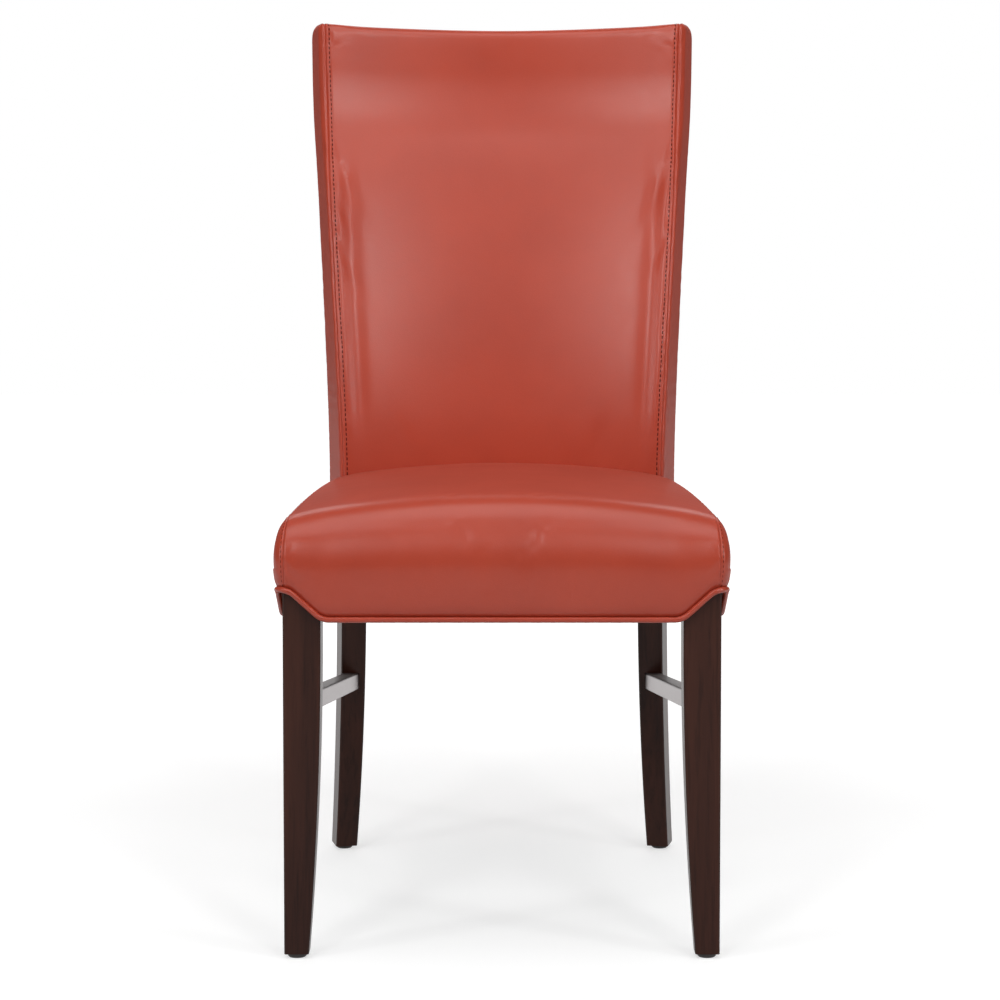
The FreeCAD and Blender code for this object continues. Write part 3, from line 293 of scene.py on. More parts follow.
def back_rear_at(z):
    return post_rear_at(z) + REAR_PADDING


def roll_in(radius, below_top):
    if below_top >= radius:
        return 0.0
    return radius - math.sqrt(radius ** 2 - (radius - below_top) ** 2)


def back_profile():
    """Rows of the back's side view from the front's foot over the top to the rear's foot.

    Returns radius, height and the direction into the padding of each row."""
    levels = list(np.linspace(COVER_BOTTOM, 1000.0, 161))
    # Closer rows near the rear seam, and round the top's roll
    levels += [1004, 1007, 1009.5, 1011.2, 1012.4, 1013.3, 1014, 1014.7, 1015.6, 1017, 1019, 1022]
    levels += [CHAIR_HEIGHT - BACK_TOP_REAR_ROLL * (1 - math.cos(a))
               for a in np.linspace(math.pi / 2, 0, 9)][1:]
    front = [(back_front_at(z) + roll_in(BACK_TOP_FRONT_ROLL, CHAIR_HEIGHT - z), z) for z in levels]
    rear = [(back_rear_at(z) - roll_in(BACK_TOP_REAR_ROLL, CHAIR_HEIGHT - z), z) for z in levels]
    flat = [(r, CHAIR_HEIGHT) for r in np.linspace(front[-1][0], rear[-1][0], 11)][1:-1]
    run = np.array(front + flat + rear[::-1])
    way = np.gradient(run, axis=0)
    way /= np.linalg.norm(way, axis=1)[:, None]
    inward = np.stack([way[:, 1], -way[:, 0]], axis=1)
    return run[:, 0], run[:, 1], inward


# The side seam runs onto the back's edge lower down: its inset from the side at each height
SEAM_LINE = ((363, 3.2), (500, 3.4), (600, 2.8), (700, 2.5), (760, 2.8), (820, 3.8), (868, 5.2),
             (893, 6.5), (940, 8.4), (1042, 8.0))
# The padding stands out a little more than the plain solids, as a share of the width
WIDER_LINE = ((363, 0.006), (480, 0.007), (560, 0.009), (700, 0.0105), (800, 0.0095), (880, 0.006),
              (950, 0.003), (1042, 0.003))
BACK_INSETS = np.array([32, 29, 26.5, 24, 21.5, 19, 17, 15.2, 13.8, 12.8, 12.1, 11.5, 10.9, 10.2, 9.2,
                        8.6, 8.1, 7.7, 7.4, 7.15, 7.0])
GUSSET_INSETS = np.array([7.0, 6.85, 6.6, 6.3, 5.9, 5.4, 4.8, 4.1, 3.4, 2.6, 1.8, 1.1, 0.5, 0.12, 0.0])


def seam_inset(height):
    return np.interp(height, *zip(*SEAM_LINE))


def wider(height):
    return 1 + np.interp(height, *zip(*WIDER_LINE))


def main_inset(inset, height):
    """A main panel column's inset, its last column on the seam and its first where it was."""
    seam = seam_inset(height)
    share = (inset - BACK_SEAM_INSET) / (BACK_INSETS[0] - BACK_SEAM_INSET)
    return seam + (BACK_INSETS[0] - seam) * share


def on_fillet(radius, height, inward, inset):
    """Radius and height of a profile point that the side's roll has drawn in."""
    sine = np.clip(1 - inset / BACK_SIDE_ROLL, 0, 1)
    depth = BACK_SIDE_ROLL * (1 - np.sqrt(1 - sine ** 2))
    return radius + inward[:, 0] * depth, height + inward[:, 1] * depth


def beside_plane(radius, height, inset, sign):
    """Points at an inset from the side plane."""
    along = np.sqrt(radius ** 2 - inset ** 2)
    x = along * math.sin(SIDE) - inset * math.cos(SIDE)
    y = AXIS_Y + along * math.cos(SIDE) + inset * math.sin(SIDE)
    return np.stack([sign * x, y, height], axis=-1)


def back_skin(step):
    """Patches of the back's cover, with every point or every second one."""
    radius, height, inward = (a[::step] for a in back_profile())
    insets = BACK_INSETS[::step]

    def column(line, sign):
        """One line of points up and over the back, at an inset for each height."""
        r, z = on_fillet(radius, height, inward, line)
        return beside_plane(r, z, line, sign)

    columns = [column(main_inset(inset, height), -1) for inset in insets[::-1]]
    widest = SIDE - np.arcsin(BACK_INSETS[0] / radius)
    for part in np.linspace(-1, 1, 97 if step == 1 else 49)[1:-1]:
        angle = widest * part
        columns.append(np.stack([radius * np.sin(angle), AXIS_Y + radius * np.cos(angle), height], axis=-1))
    columns += [column(main_inset(inset, height), 1) for inset in insets]
    patches = {"main": np.stack(columns, axis=1)}
    for name, sign in (("left", 1), ("right", -1)):
        seam = seam_inset(height)
        fillet = np.stack([column(inset / BACK_SEAM_INSET * seam, sign) for inset in GUSSET_INSETS[::step]],
                          axis=1)
        patches["edge_" + name] = fillet if sign > 0 else fillet[:, ::-1]
        half = len(radius) // 2 + 1
        end_r, end_z = on_fillet(radius, height, inward, 0.0)
        columns = []
        for part in np.linspace(0, 1, 17 if step == 1 else 9):
            r = end_r[:half] * (1 - part) + end_r[::-1][:half] * part
            z = end_z[:half] * (1 - part) + end_z[::-1][:half] * part
            columns.append(beside_plane(r, z, np.zeros_like(r), sign))
        side = np.stack(columns, axis=1)
        patches["side_" + name] = side if sign > 0 else side[:, ::-1]
    for patch in patches.values():
        patch[..., 0] *= wider(patch[..., 2])
    return patches


def seam_distance(patch, column):
    """Distance of every point from one column of its patch, measured along the rows."""
    length = np.linalg.norm(np.diff(patch, axis=1), axis=2)
    total = np.concatenate([np.zeros((len(patch), 1)), np.cumsum(length, axis=1)], axis=1)
    return np.abs(total - total[:, [column]])


def down_distance(patch, row):
    """Distance of every point from one row of its patch, measured down the columns."""
    length = np.linalg.norm(np.diff(patch, axis=0), axis=2)
    total = np.concatenate([np.zeros((1, patch.shape[1])), np.cumsum(length, axis=0)], axis=0)
    return np.abs(total - total[[row]])


def wander(phase, lengths, share):
    """A smooth uneven line of values along a seam, between about -1 and 1."""
    total = np.zeros_like(phase)
    for length, part in zip(lengths, share):
        total += part * np.sin(2 * math.pi * phase / length + rng.uniform(0, 2 * math.pi))
    return total


FAR = 1e3                    # the distance of points that aren't near any seam


def side_seams(patches, ids, count):
    """Each point's distance from the side seams, and whether it is on the main panel."""
    gap = np.full(count, FAR)
    on_main = np.zeros(count, bool)
    strip = patches["main"]
    gap[ids["main"]] = np.minimum(seam_distance(strip, 0), seam_distance(strip, strip.shape[1] - 1))
    on_main[ids["main"]] = True
    for name, column in (("edge_left", 0), ("edge_right", patches["edge_right"].shape[1] - 1)):
        gap[ids[name]] = np.minimum(gap[ids[name]], seam_distance(patches[name], column))
    return gap, on_main


def groove(distance, depth, width):
    """A seam's furrow, by the distance from its middle."""
    return -depth * np.exp(-(distance / width) ** 2)


def bead(distance, height, place, width):
    """A raised line beside a seam, at its place from it."""
    return height * np.exp(-((distance - place) / width) ** 2)


def puckers(travelled, lengths, gap, most):
    """Small uneven waves along a seam, which fade out beside it."""
    return wander(travelled, lengths, (0.35, 0.35, 0.3)) * most * np.exp(-gap / 5.0) * (gap > 0.1)


# Back cover

back_patches = back_skin(1)
back_points, back_faces, back_ids, back_tags = weld(back_patches)
back_normals = normals_of(back_points, back_faces)
back_gap, back_main = side_seams(back_patches, back_ids, len(back_points))
INNER_COLUMN = 60            # any column of the main panel that is away from its seams
inner_heights = back_patches["main"][:, INNER_COLUMN, 2]
seam_row = int(np.where(np.abs(inner_heights - REAR_SEAM_HEIGHT) < 0.01)[0][-1])
back_drop = np.full(len(back_points), FAR)
back_drop[back_ids["main"]] = down_distance(back_patches["main"], seam_row)


def back_relief():
    """How far each point of the back's cover stands out of its plain form."""
    x, z = back_points[:, 0], back_points[:, 2]
    radius = np.hypot(x, back_points[:, 1] - AXIS_Y)
    middle = np.array([post_front_at(v) + POST_DEPTH / 3 for v in z])
    front = radius < middle
    upper = smooth_step((z - 430) / 420)
    out = groove(back_gap, 0.55 + 0.55 * upper, 0.8)
    out += np.where(back_main, bead(back_gap, 0.25, 2.3, 1.2), bead(back_gap, 0.45 + 0.5 * upper, 3.4, 2.3))
    out += np.where(back_main, groove(back_gap - 4.5, 0.42, 0.9), 0)
    out += groove(back_drop, 0.9, 0.9) + bead(back_drop, 0.3, 2.6, 1.4)
    # Small puckers along the side seams
    out += puckers(z, (9.0, 14.0, 23.0), back_gap, 0.22)
    # Along the posts the foam stands up, and falls away just inside them
    along = smooth_step((z - 470) / 120) * (1 - smooth_step((z - 800) / 130))
    fade = np.where(front & back_main, along, 0)
    out += fade * (bead(back_gap, 1.3, 10.0, 7.0) - bead(back_gap, 1.5, 25.0, 9.0))
    out -= 2.2 * np.exp(-(z - COVER_BOTTOM) / 6.0)
    # Soft unevenness of stretched leather over foam
    sway = np.sin(x / 37.0 + 1.3) * np.sin(z / 61.0 + 0.4) + np.sin(x / 71.0 + z / 93.0)
    out += np.where(back_main, 0.18 * sway, 0) * smooth_step(back_gap / 25)
    # The rear is a little fuller between its seams, and the gusset swells slightly
    rear = ~front & back_main
    out += np.where(rear, 1.0 * smooth_step(back_gap / 60), 0)
    out += np.where(~back_main, 0.8 * smooth_step(np.minimum(back_gap, 60) / 14), 0)
    return out


def corner_rise(x):
    return CORNER_RISE * (x / CORNER_X) ** 2


def near_top(z):
    """0 up to the start of the top edge's dip, and 1 at the top."""
    return smooth_step((z - DIP_START) / (CHAIR_HEIGHT - DIP_START))


def simulated(skin, fine_points, fine_ids, pins, spare, most):
    """Runs the cloth on every second point and spreads its movement over all of them."""
    points, faces, ids, _ = weld(skin(2))
    moved = soft_move(swell(points, faces, pins(points, ids), spare), most)
    total = np.zeros_like(fine_points)
    count = np.zeros(len(total))
    for name, index in fine_ids.items():
        np.add.at(total, index, stretch(moved[ids[name]], index.shape))
        np.add.at(count, index, 1)
    return CLOTH_SHARE * total / count[:, None]


# How firmly points are held in the simulation: sewn, on the padding, and on the back's sides
SEWN = 1.0
ON_PADDING = 0.06
ON_SIDE = 0.35


def back_pins(points, ids):
    held = np.full(len(points), ON_PADDING)
    main = ids["main"]
    held[main[:, [0, -1]]] = SEWN
    held[main[[0, -1], :]] = SEWN
    held[main[:, [1, -2]]] = 0.5
    for name in ("side_left", "side_right"):
        held[ids[name]] = np.maximum(held[ids[name]], ON_SIDE)
    held[points[:, 2] < BEHIND_SEAT] = SEWN
    return held


back_moved = simulated(back_skin, back_points, back_ids, back_pins, spare=0.0015, most=1.3)
back_final = back_points + back_normals * back_relief()[:, None] + back_moved
# The top edge is a little lower in the middle and rises to its corners
back_final[:, 2] += (corner_rise(back_points[:, 0]) - TOP_DIP) * near_top(back_points[:, 2])


# Seat cover

def side_x(y):
    return SEAT_FRONT_WIDTH / 2 - y * math.tan(SLANT)


def skirt_rise(t):
    """Rise of the lower edge at a distance past the start of its slope, and the slope's whole run."""
    straight = (SKIRT_RISE - 2 * SKIRT_BEND * (1 - math.cos(SKIRT_SLOPE))) / math.sin(SKIRT_SLOPE)
    bend = SKIRT_BEND * math.sin(SKIRT_SLOPE)
    run = 2 * bend + straight * math.cos(SKIRT_SLOPE)
    t = np.clip(t, 0, run)
    low = SKIRT_BEND - np.sqrt(SKIRT_BEND ** 2 - np.minimum(t, bend) ** 2)
    middle = np.clip(t - bend, 0, run - 2 * bend) * math.tan(SKIRT_SLOPE)
    left = np.clip(run - t, 0, bend)
    high = SKIRT_BEND * (1 - math.cos(SKIRT_SLOPE)) - (SKIRT_BEND - np.sqrt(SKIRT_BEND ** 2 - left ** 2))
    return low + middle + high, run


RISE_END_X = side_x(0) - 7.0         # where the lower edge's rise ends on the front
RISE_END_Y = 7.0                     # and on the side
RUN = skirt_rise(np.array([0.0]))[1]


def skirt(x, y):
    """Height of the cover's lower edge."""
    front = skirt_rise(np.abs(x) - (RISE_END_X - RUN))[0]
    side = skirt_rise(RISE_END_Y + RUN - y)[0]
    return COVER_BOTTOM + np.minimum(front, side)


def roll_height(x):
    """Height of the front roll: it starts level all along the front."""
    return seat_top(x, 0.0) - SEAT_ROLL_START


def seat_top(x, y):
    crown = SEAT_HEIGHT - CROWN_ALONG + np.sqrt(CROWN_ALONG ** 2 - (y - CROWN_PEAK_Y) ** 2)
    return crown - CROWN_ACROSS + np.sqrt(CROWN_ACROSS ** 2 - x ** 2)


SEAT_INSETS = np.array([38, 34, 31, 28, 25.5, 23.5, 21.5, 19.8, 18.2, 16.8, 15.6, 14.6, 13.8, 13.0,
                        12.3, 11.7, 11.2, 10.8, 10.6, 10.5])
SIDE_INSETS = np.array([10.5, 10.4, 10.2, 9.8, 9.3, 8.7, 8.0, 7.1, 6.0, 4.8, 3.6, 2.5, 1.5, 0.8, 0.3,
                        0.05, 0.0])
SEAT_ROWS_FRONT = 25
SEAT_ROWS_ROLL = 28


def seat_skin(step):
    """Patches of the seat's cover: a main strip up the front and back along the top, and its sides."""
    lift = np.linspace(0, 1, SEAT_ROWS_FRONT)[::step]
    angles = np.linspace(0, math.pi / 2, SEAT_ROWS_ROLL + 1)[1:]
    depths = np.concatenate([[0.0], SEAT_FRONT_ROLL * (1 - np.cos(angles))])
    back_run = np.linspace(SEAT_FRONT_ROLL, SEAT_DEPTH - SEAT_CORNER, 109)[1:]
    last = SEAT_DEPTH - SEAT_CORNER * (1 - np.sin(np.linspace(0, math.pi / 2, 9)[1:]))
    run = np.concatenate([depths, back_run, last])[::step]
    rolls = np.interp(run, (0, SEAT_FRONT_ROLL), (SEAT_CORNER, SEAT_SIDE_ROLL))
    drops = np.array([roll_in(SEAT_FRONT_ROLL, y) for y in run])
    rears = np.array([roll_in(SEAT_CORNER, SEAT_DEPTH - y) for y in run])
    angle = np.arccos(np.clip(1 - run / SEAT_FRONT_ROLL, 0, 1))
    inward_y = np.cos(angle)
    inward_z = -np.sin(angle)

    def column(inset, sign, share=None):
        """One line up the front and back along the top, at an inset or a share of the half width."""
        inner = share is not None
        reach = (SEAT_INSETS[0] if inner else inset) / math.cos(SLANT)
        sine = 0.0 if inner else max(0.0, 1 - inset / SEAT_CORNER)
        depth = SEAT_CORNER * (1 - math.sqrt(1 - sine ** 2))
        x = (side_x(0) - reach) * (share if inner else 1.0)
        bottom = skirt(x, depth)
        front = np.stack([np.full_like(lift, x), np.full_like(lift, depth),
                          bottom + (SEAT_ROLL_START - bottom) * lift], axis=-1)
        sines = np.zeros_like(rolls) if inner else np.clip(1 - inset / rolls, 0, 1)
        deep = rolls * (1 - np.sqrt(1 - sines ** 2))
        y = run + inward_y * deep
        if inner:
            x = (side_x(y) - reach) * share
        else:
            x = side_x(y) - reach - rears * (1 - np.clip(inset / SEAT_SIDE_ROLL, 0, 1))
        z = seat_top(x, run) - drops * roll_height(x) / SEAT_FRONT_ROLL + inward_z * deep
        top_run = np.stack([x, y, z], axis=-1)
        line = np.concatenate([front[:-1], top_run])
        line[:, 0] *= sign
        return line

    insets = SEAT_INSETS[::step]
    columns = [column(inset, -1) for inset in insets[::-1]]
    columns += [column(0, 1, share) for share in np.linspace(-1, 1, 105 if step == 1 else 53)[1:-1]]
    columns += [column(inset, 1) for inset in insets]
    if insets[-1] != SEAT_INSETS[-1]:
        columns = [column(SEAT_INSETS[-1], -1)] + columns + [column(SEAT_INSETS[-1], 1)]
    patches = {"main": np.stack(columns, axis=1)}
    for name, sign in (("left", 1), ("right", -1)):
        fillet = np.stack([column(inset, sign) for inset in SIDE_INSETS[::step]], axis=1)
        patches["edge_" + name] = fillet if sign > 0 else fillet[:, ::-1]
        end = fillet[len(lift) - 1:, -1]
        rows = []
        for share in lift[::-1]:
            low = skirt(end[:, 0], end[:, 1])
            rows.append(np.stack([end[:, 0], end[:, 1], low + (end[:, 2] - low) * share], axis=-1))
        side = np.stack(rows, axis=1)
        patches["side_" + name] = side if sign > 0 else side[:, ::-1]
    return patches


seat_patches = seat_skin(1)
seat_points, seat_faces, seat_ids, seat_tags = weld(seat_patches)
seat_normals = normals_of(seat_points, seat_faces)
seat_gap, seat_main = side_seams(seat_patches, seat_ids, len(seat_points))


def seat_relief():
    """How far each point of the seat's cover stands out of its plain form."""
    x, y, z = seat_points[:, 0], seat_points[:, 1], seat_points[:, 2]
    low = skirt(x, y)
    up = np.clip((z - low) / 100.0, 0, 1)
    out = groove(seat_gap, 0.7, 0.8)
    out += np.where(seat_main, bead(seat_gap, 0.35, 2.2, 1.3), bead(seat_gap, 0.3, 2.6, 1.5))
    out += np.where(~seat_main, groove(seat_gap - 2.0, 0.25, 0.7), 0)
    out += puckers(y + z, (8.0, 13.0, 21.0), seat_gap, 0.3)
    # The walls are fullest in the middle and drawn in above the welt
    ahead = 1 - smooth_step(y / 30.0)
    out += (1.3 + 2.0 * ahead) * np.sin(math.pi * up)
    out -= 5.0 * np.exp(-(z - low) / 5.0)
    # Stretched leather over foam: broad shallow unevenness
    sway = np.sin(x / 43.0 + 0.7) * np.sin(y / 57.0 + 1.9) + 0.6 * np.sin(x / 21.0 + y / 83.0 + z / 30.0)
    out += np.where(seat_main, 0.22 * sway, 0.1 * sway) * smooth_step(seat_gap / 25)
    return out


def seat_pins(points, ids):
    held = np.full(len(points), ON_PADDING)
    held[ids["main"][:, [0, -1]]] = SEWN
    held[ids["main"][0, :]] = SEWN
    for name, foot in (("left", -1), ("right", 0)):
        side = ids["side_" + name]
        held[side[:, foot]] = SEWN
        held[side[-1, :]] = SEWN
        held[ids["edge_" + name][0, :]] = SEWN
    held[points[:, 1] > INSIDE_BACK] = SEWN
    return held


seat_moved = simulated(seat_skin, seat_points, seat_ids, seat_pins, spare=0.002, most=1.6)
seat_final = seat_points + seat_normals * seat_relief()[:, None] + seat_moved


def inside_back(points, gap):
    """How far each point is inside the back's form, and the way out of it."""
    radius = np.hypot(points[:, 0], points[:, 1] - AXIS_Y)
    front = np.array([back_front_at(z) for z in points[:, 2]]) - gap
    side = gap - (np.abs(points[:, 0]) * math.cos(SIDE) - (points[:, 1] - AXIS_Y) * math.sin(SIDE))
    return radius - front, side


def tuck_seat():
    """The seat's top dips where it meets the back, and its points past the back's face come out to it.

    Returns which points are inside the back."""
    x, y, z = seat_final[:, 0], seat_final[:, 1], seat_final[:, 2]
    ahead, side = inside_back(seat_final, gap=0.8)
    z -= 2.2 * np.exp(-np.clip(-ahead, 0, 60) / 5.0) * (side > -12) * (z > DIP_ABOVE)
    buried = (ahead > 0) & (side > 0) & (z > TUCK_ABOVE)
    close = buried & (ahead < 7)
    radius = np.hypot(x, y - AXIS_Y)
    share = np.where(close, (radius - ahead) / radius, 1)
    by_side = close & (side < ahead)
    by_front = close & ~by_side
    x[:] = np.where(by_front, x * share, x)
    y[:] = np.where(by_front, AXIS_Y + (y - AXIS_Y) * share, y)
    x[:] = np.where(by_side, x + np.sign(x) * side * math.cos(SIDE), x)
    y[:] = np.where(by_side, y - side * math.sin(SIDE), y)
    return buried


seat_buried = tuck_seat()


# Materials

def feed(owner, socket, value):
    """Joins another node's output to an input, or gives the input a fixed value."""
    if isinstance(value, bpy.types.NodeSocket):
        owner.node_tree.links.new(value, socket)
    else:
        socket.default_value = value


def add(owner, kind, **values):
    """A new node of a material or the world. Each value is one of its inputs or settings."""
    node = owner.node_tree.nodes.new(kind)
    for key, value in values.items():
        if key in node.inputs:
            feed(owner, node.inputs[key], value)
        else:
            setattr(node, key, value)
    return node


def ordered(owner, kind, *values, **settings):
    """A new node whose inputs are filled in their order."""
    node = add(owner, kind, **settings)
    for socket, value in zip(node.inputs, values):
        feed(owner, socket, value)
    return node


def reckon(owner, operation, *values):
    return ordered(owner, "ShaderNodeMath", *values, operation=operation).outputs[0]


def spread(owner, value, low, high, new_low=0.0, new_high=1.0):
    """Takes a value from one range to another and holds it there."""
    limits = {"From Min": low, "From Max": high, "To Min": new_low, "To Max": new_high}
    return add(owner, "ShaderNodeMapRange", Value=value, **limits).outputs["Result"]


def noise(owner, coords, scale, detail, roughness, output="Fac"):
    node = add(owner, "ShaderNodeTexNoise", Vector=coords, Scale=scale, Detail=detail, Roughness=roughness)
    return node.outputs[output]


def tinted(owner, color, over, share):
    """A colour multiplied by another one, as far as the share says."""
    node = add(owner, "ShaderNodeMix", data_type="RGBA", blend_type="MULTIPLY", Factor=share, A=color, B=over)
    return node.outputs["Result"]


def grey(value):
    return (value, value, value)


def ramp(owner, factor, *stops):
    """Two colours, each at its place, and the blend between them."""
    node = add(owner, "ShaderNodeValToRGB", Fac=factor)
    for element, (place, color) in zip(node.color_ramp.elements, stops):
        element.position = place
        element.color = (*color, 1)
    return node.outputs["Color"]


def object_coords(owner, scale=(1, 1, 1)):
    coords = add(owner, "ShaderNodeTexCoord").outputs["Object"]
    return add(owner, "ShaderNodeMapping", Vector=coords, Scale=scale).outputs["Vector"]


def bumped(owner, node, *layers):
    """Stacks bump layers: height output, distance in metres, strength."""
    last = None
    for height, distance, strength in layers:
        bump = add(owner, "ShaderNodeBump", Height=height, Distance=distance, Strength=strength)
        if last is not None:
            feed(owner, bump.inputs["Normal"], last)
        last = bump.outputs["Normal"]
    feed(owner, node.inputs["Normal"], last)


def shader(name, base, roughness, specular=0.5, metallic=0.0, coat=0.0, coat_roughness=0.1, sheen=0.0):
    material = bpy.data.materials.new(name)
    material.use_nodes = True
    node = material.node_tree.nodes["Principled BSDF"]
    node.inputs["Base Color"].default_value = (*base, 1)
    node.inputs["Roughness"].default_value = roughness
    node.inputs["Specular IOR Level"].default_value = specular
    node.inputs["Metallic"].default_value = metallic
    node.inputs["Coat Weight"].default_value = coat
    node.inputs["Coat Roughness"].default_value = coat_roughness
    node.inputs["Sheen Weight"].default_value = sheen
    return material, node


def leather_material(name, rough):
    material, node = shader(name, LEATHER_RED, rough, specular=0.36, coat=0.12, coat_roughness=0.22)
    coords = object_coords(material)
    pebble = add(material, "ShaderNodeTexVoronoi", Vector=coords, Scale=480.0, feature="DISTANCE_TO_EDGE")
    valley = spread(material, pebble.outputs["Distance"], 0.0, 0.22)
    fine = noise(material, coords, 900.0, 1.0, 0.5)
    patch = noise(material, coords, 9.0, 3.0, 0.55)
    mottle = noise(material, coords, 70.0, 4.0, 0.6)
    creases = noise(material, coords, 240.0, 2.0, 0.5)
    lighter = tuple(min(1.0, v * 1.12) for v in LEATHER_RED)
    blend = add(material, "ShaderNodeMix", data_type="RGBA", A=(*LEATHER_DARK, 1), B=(*lighter, 1),
                Factor=spread(material, patch, 0.25, 0.62, 0.62))
    grain = ramp(material, valley, (0.0, grey(0.62)), (1.0, grey(1.0)))
    feed(material, node.inputs["Base Color"], tinted(material, blend.outputs["Result"], grain, 0.10))
    gloss = spread(material, mottle, 0.3, 0.7, rough - 0.008, rough + 0.05)
    # The grain hides its own gloss at a flat angle
    facing = add(material, "ShaderNodeLayerWeight", Blend=0.5)
    flat = spread(material, facing.outputs["Facing"], 0.55, 0.88)
    matt = add(material, "ShaderNodeMix", data_type="FLOAT", Factor=flat, A=gloss, B=0.85)
    feed(material, node.inputs["Roughness"], matt.outputs["Result"])
    bumped(material, node, (creases, 0.0003, 0.10), (valley, 0.00010, 0.30), (fine, 0.00005, 0.14))
    return material


def wood_material(name, dark, light, rough, grain, bump):
    material, node = shader(name, dark, rough, specular=0.15)
    coords = object_coords(material, (1.0, 1.0, 0.055))
    warp = noise(material, coords, 7.0, 3.0, 0.5, "Color")
    bent = ordered(material, "ShaderNodeVectorMath", warp, (0.05, 0.05, 0.05), coords,
                   operation="MULTIPLY_ADD").outputs["Vector"]
    rings = noise(material, bent, grain, 5.0, 0.62)
    pores = noise(material, bent, grain * 6, 3.0, 0.7)
    figure = ramp(material, rings, (0.30, dark), (0.68, light))
    flecks = ramp(material, pores, (0.36, grey(0.62)), (0.50, grey(1.0)))
    feed(material, node.inputs["Base Color"], tinted(material, figure, flecks, 0.75))
    bumped(material, node, (pores, 0.0003, bump))
    return material


def steel_material(name, base, rough, direction):
    material, node = shader(name, base, rough, metallic=1.0)
    lines = noise(material, object_coords(material, direction), 900.0, 3.0, 0.6)
    dark = tuple(v * 0.82 for v in base)
    light = tuple(min(1, v * 1.1) for v in base)
    feed(material, node.inputs["Base Color"], ramp(material, lines, (0.3, dark), (0.7, light)))
    feed(material, node.inputs["Roughness"], spread(material, lines, 0.0, 1.0, rough - 0.08, rough + 0.12))
    bumped(material, node, (lines, 0.00006, 0.35))
    return material


def plain_material(name, base, rough, scale, bump_distance, variation=0.2, sheen=0.0, specular=0.5):
    material, node = shader(name, base, rough, specular=specular, sheen=sheen)
    specks = noise(material, object_coords(material), scale, 4.0, 0.6)
    low = tuple(v * (1 - variation) for v in base)
    high = tuple(min(1, v * (1 + variation)) for v in base)
    feed(material, node.inputs["Base Color"], ramp(material, specks, (0.3, low), (0.7, high)))
    bumped(material, node, (specks, bump_distance, 0.5))
    return material


def woven_material(name, base, accent, bands, bump_distance):
    """Plain weave: bands in X and Y, with a darker colour between them."""
    material, node = shader(name, base, 0.85, sheen=0.2)
    split = add(material, "ShaderNodeSeparateXYZ", Vector=object_coords(material))
    waves = [reckon(material, "SINE", reckon(material, "MULTIPLY", split.outputs[axis], bands))
             for axis in "XY"]
    level = spread(material, reckon(material, "MULTIPLY", *waves), -1.0, 1.0)
    feed(material, node.inputs["Base Color"], ramp(material, level, (0.2, accent), (0.8, base)))
    bumped(material, node, (level, bump_distance, 0.6))
    return material


LEATHER_RED = (0.40, 0.049, 0.023)
LEATHER_DARK = (0.34, 0.038, 0.018)
leather = leather_material("leather", 0.29)
welt_leather = leather_material("welt_leather", 0.22)
thread = plain_material("thread", (0.075, 0.009, 0.006), 0.85, 2500.0, 0.0001, specular=0.1)
show_wood = wood_material("espresso_wood", (0.022, 0.0072, 0.0048), (0.058, 0.019, 0.012), 0.32, 30.0, 0.25)
frame_wood = wood_material("beech_wood", (0.42, 0.27, 0.15), (0.56, 0.39, 0.23), 0.6, 34.0, 0.3)
bar_steel = steel_material("brushed_steel", (0.37, 0.335, 0.335), 0.34, (1.0, 0.03, 1.0))
fastener = steel_material("zinc_steel", (0.42, 0.40, 0.36), 0.32, (1.0, 1.0, 0.1))
plug_plastic = plain_material("plug_plastic", (0.02, 0.02, 0.02), 0.5, 1200.0, 0.0001)
glide_plastic = plain_material("glide_plastic", (0.025, 0.02, 0.018), 0.42, 900.0, 0.0001)
webbing = woven_material("webbing", (0.36, 0.25, 0.15), (0.16, 0.09, 0.05), 2100.0, 0.0004)
lining = woven_material("lining", (0.020, 0.020, 0.021), (0.008, 0.008, 0.009), 3800.0, 0.0002)
foam_material = plain_material("foam", (0.70, 0.62, 0.42), 0.9, 700.0, 0.0006, 0.12)
wadding = plain_material("wadding", (0.80, 0.78, 0.74), 0.95, 300.0, 0.0012, 0.06, 0.3)


# Leather panels from the skins

def panel(name, points, faces, node):
    """One sewn panel with its own thickness, from the faces of a skin."""
    used = sorted({v for face in faces for v in face})
    place = {v: i for i, v in enumerate(used)}
    obj = new_object(name, row_frame(points[used]), [[place[v] for v in face] for face in faces], leather)
    solid = obj.modifiers.new("thickness", "SOLIDIFY")
    solid.thickness = LEATHER * 0.001
    solid.offset = -1
    solid.use_rim = True
    return ride(obj, "leather", node)


def back_panels():
    """Faces of the back's four panels. What the seat hides in front of the posts is left out."""
    panels = {"front": [], "rear": [], "left": [], "right": []}
    for face, (name, row) in zip(back_faces, back_tags):
        middle = back_points[face].mean(axis=0)
        radius = math.hypot(middle[0], middle[1] - AXIS_Y)
        if name == "main" and row >= seam_row:
            panels["rear"].append(face)
        elif name == "main":
            if radius > post_front_at(middle[2]) or middle[2] > FRONT_PANEL_FOOT:
                panels["front"].append(face)
        elif middle[2] > GUSSET_FOOT or radius > POST_RADIUS - GUSSET_LEAD - 2:
            panels[name.split("_")[1]].append(face)
    return panels


def seat_panels():
    """Faces of the seat's three panels, without those inside the back."""
    panels = {"main": [], "left": [], "right": []}
    for face, (name, _) in zip(seat_faces, seat_tags):
        if not all(seat_buried[v] for v in face):
            panels[name.split("_")[-1]].append(face)
    return panels


panels = back_panels()
back_front = panel("back_front_panel", back_final, panels["front"], "back_cover_front")
back_rear = panel("back_rear_panel", back_final, panels["rear"], "back_cover_rear")
panel("back_gusset_left", back_final, panels["left"], "back_cover_side_left")
panel("back_gusset_right", back_final, panels["right"], "back_cover_side_right")

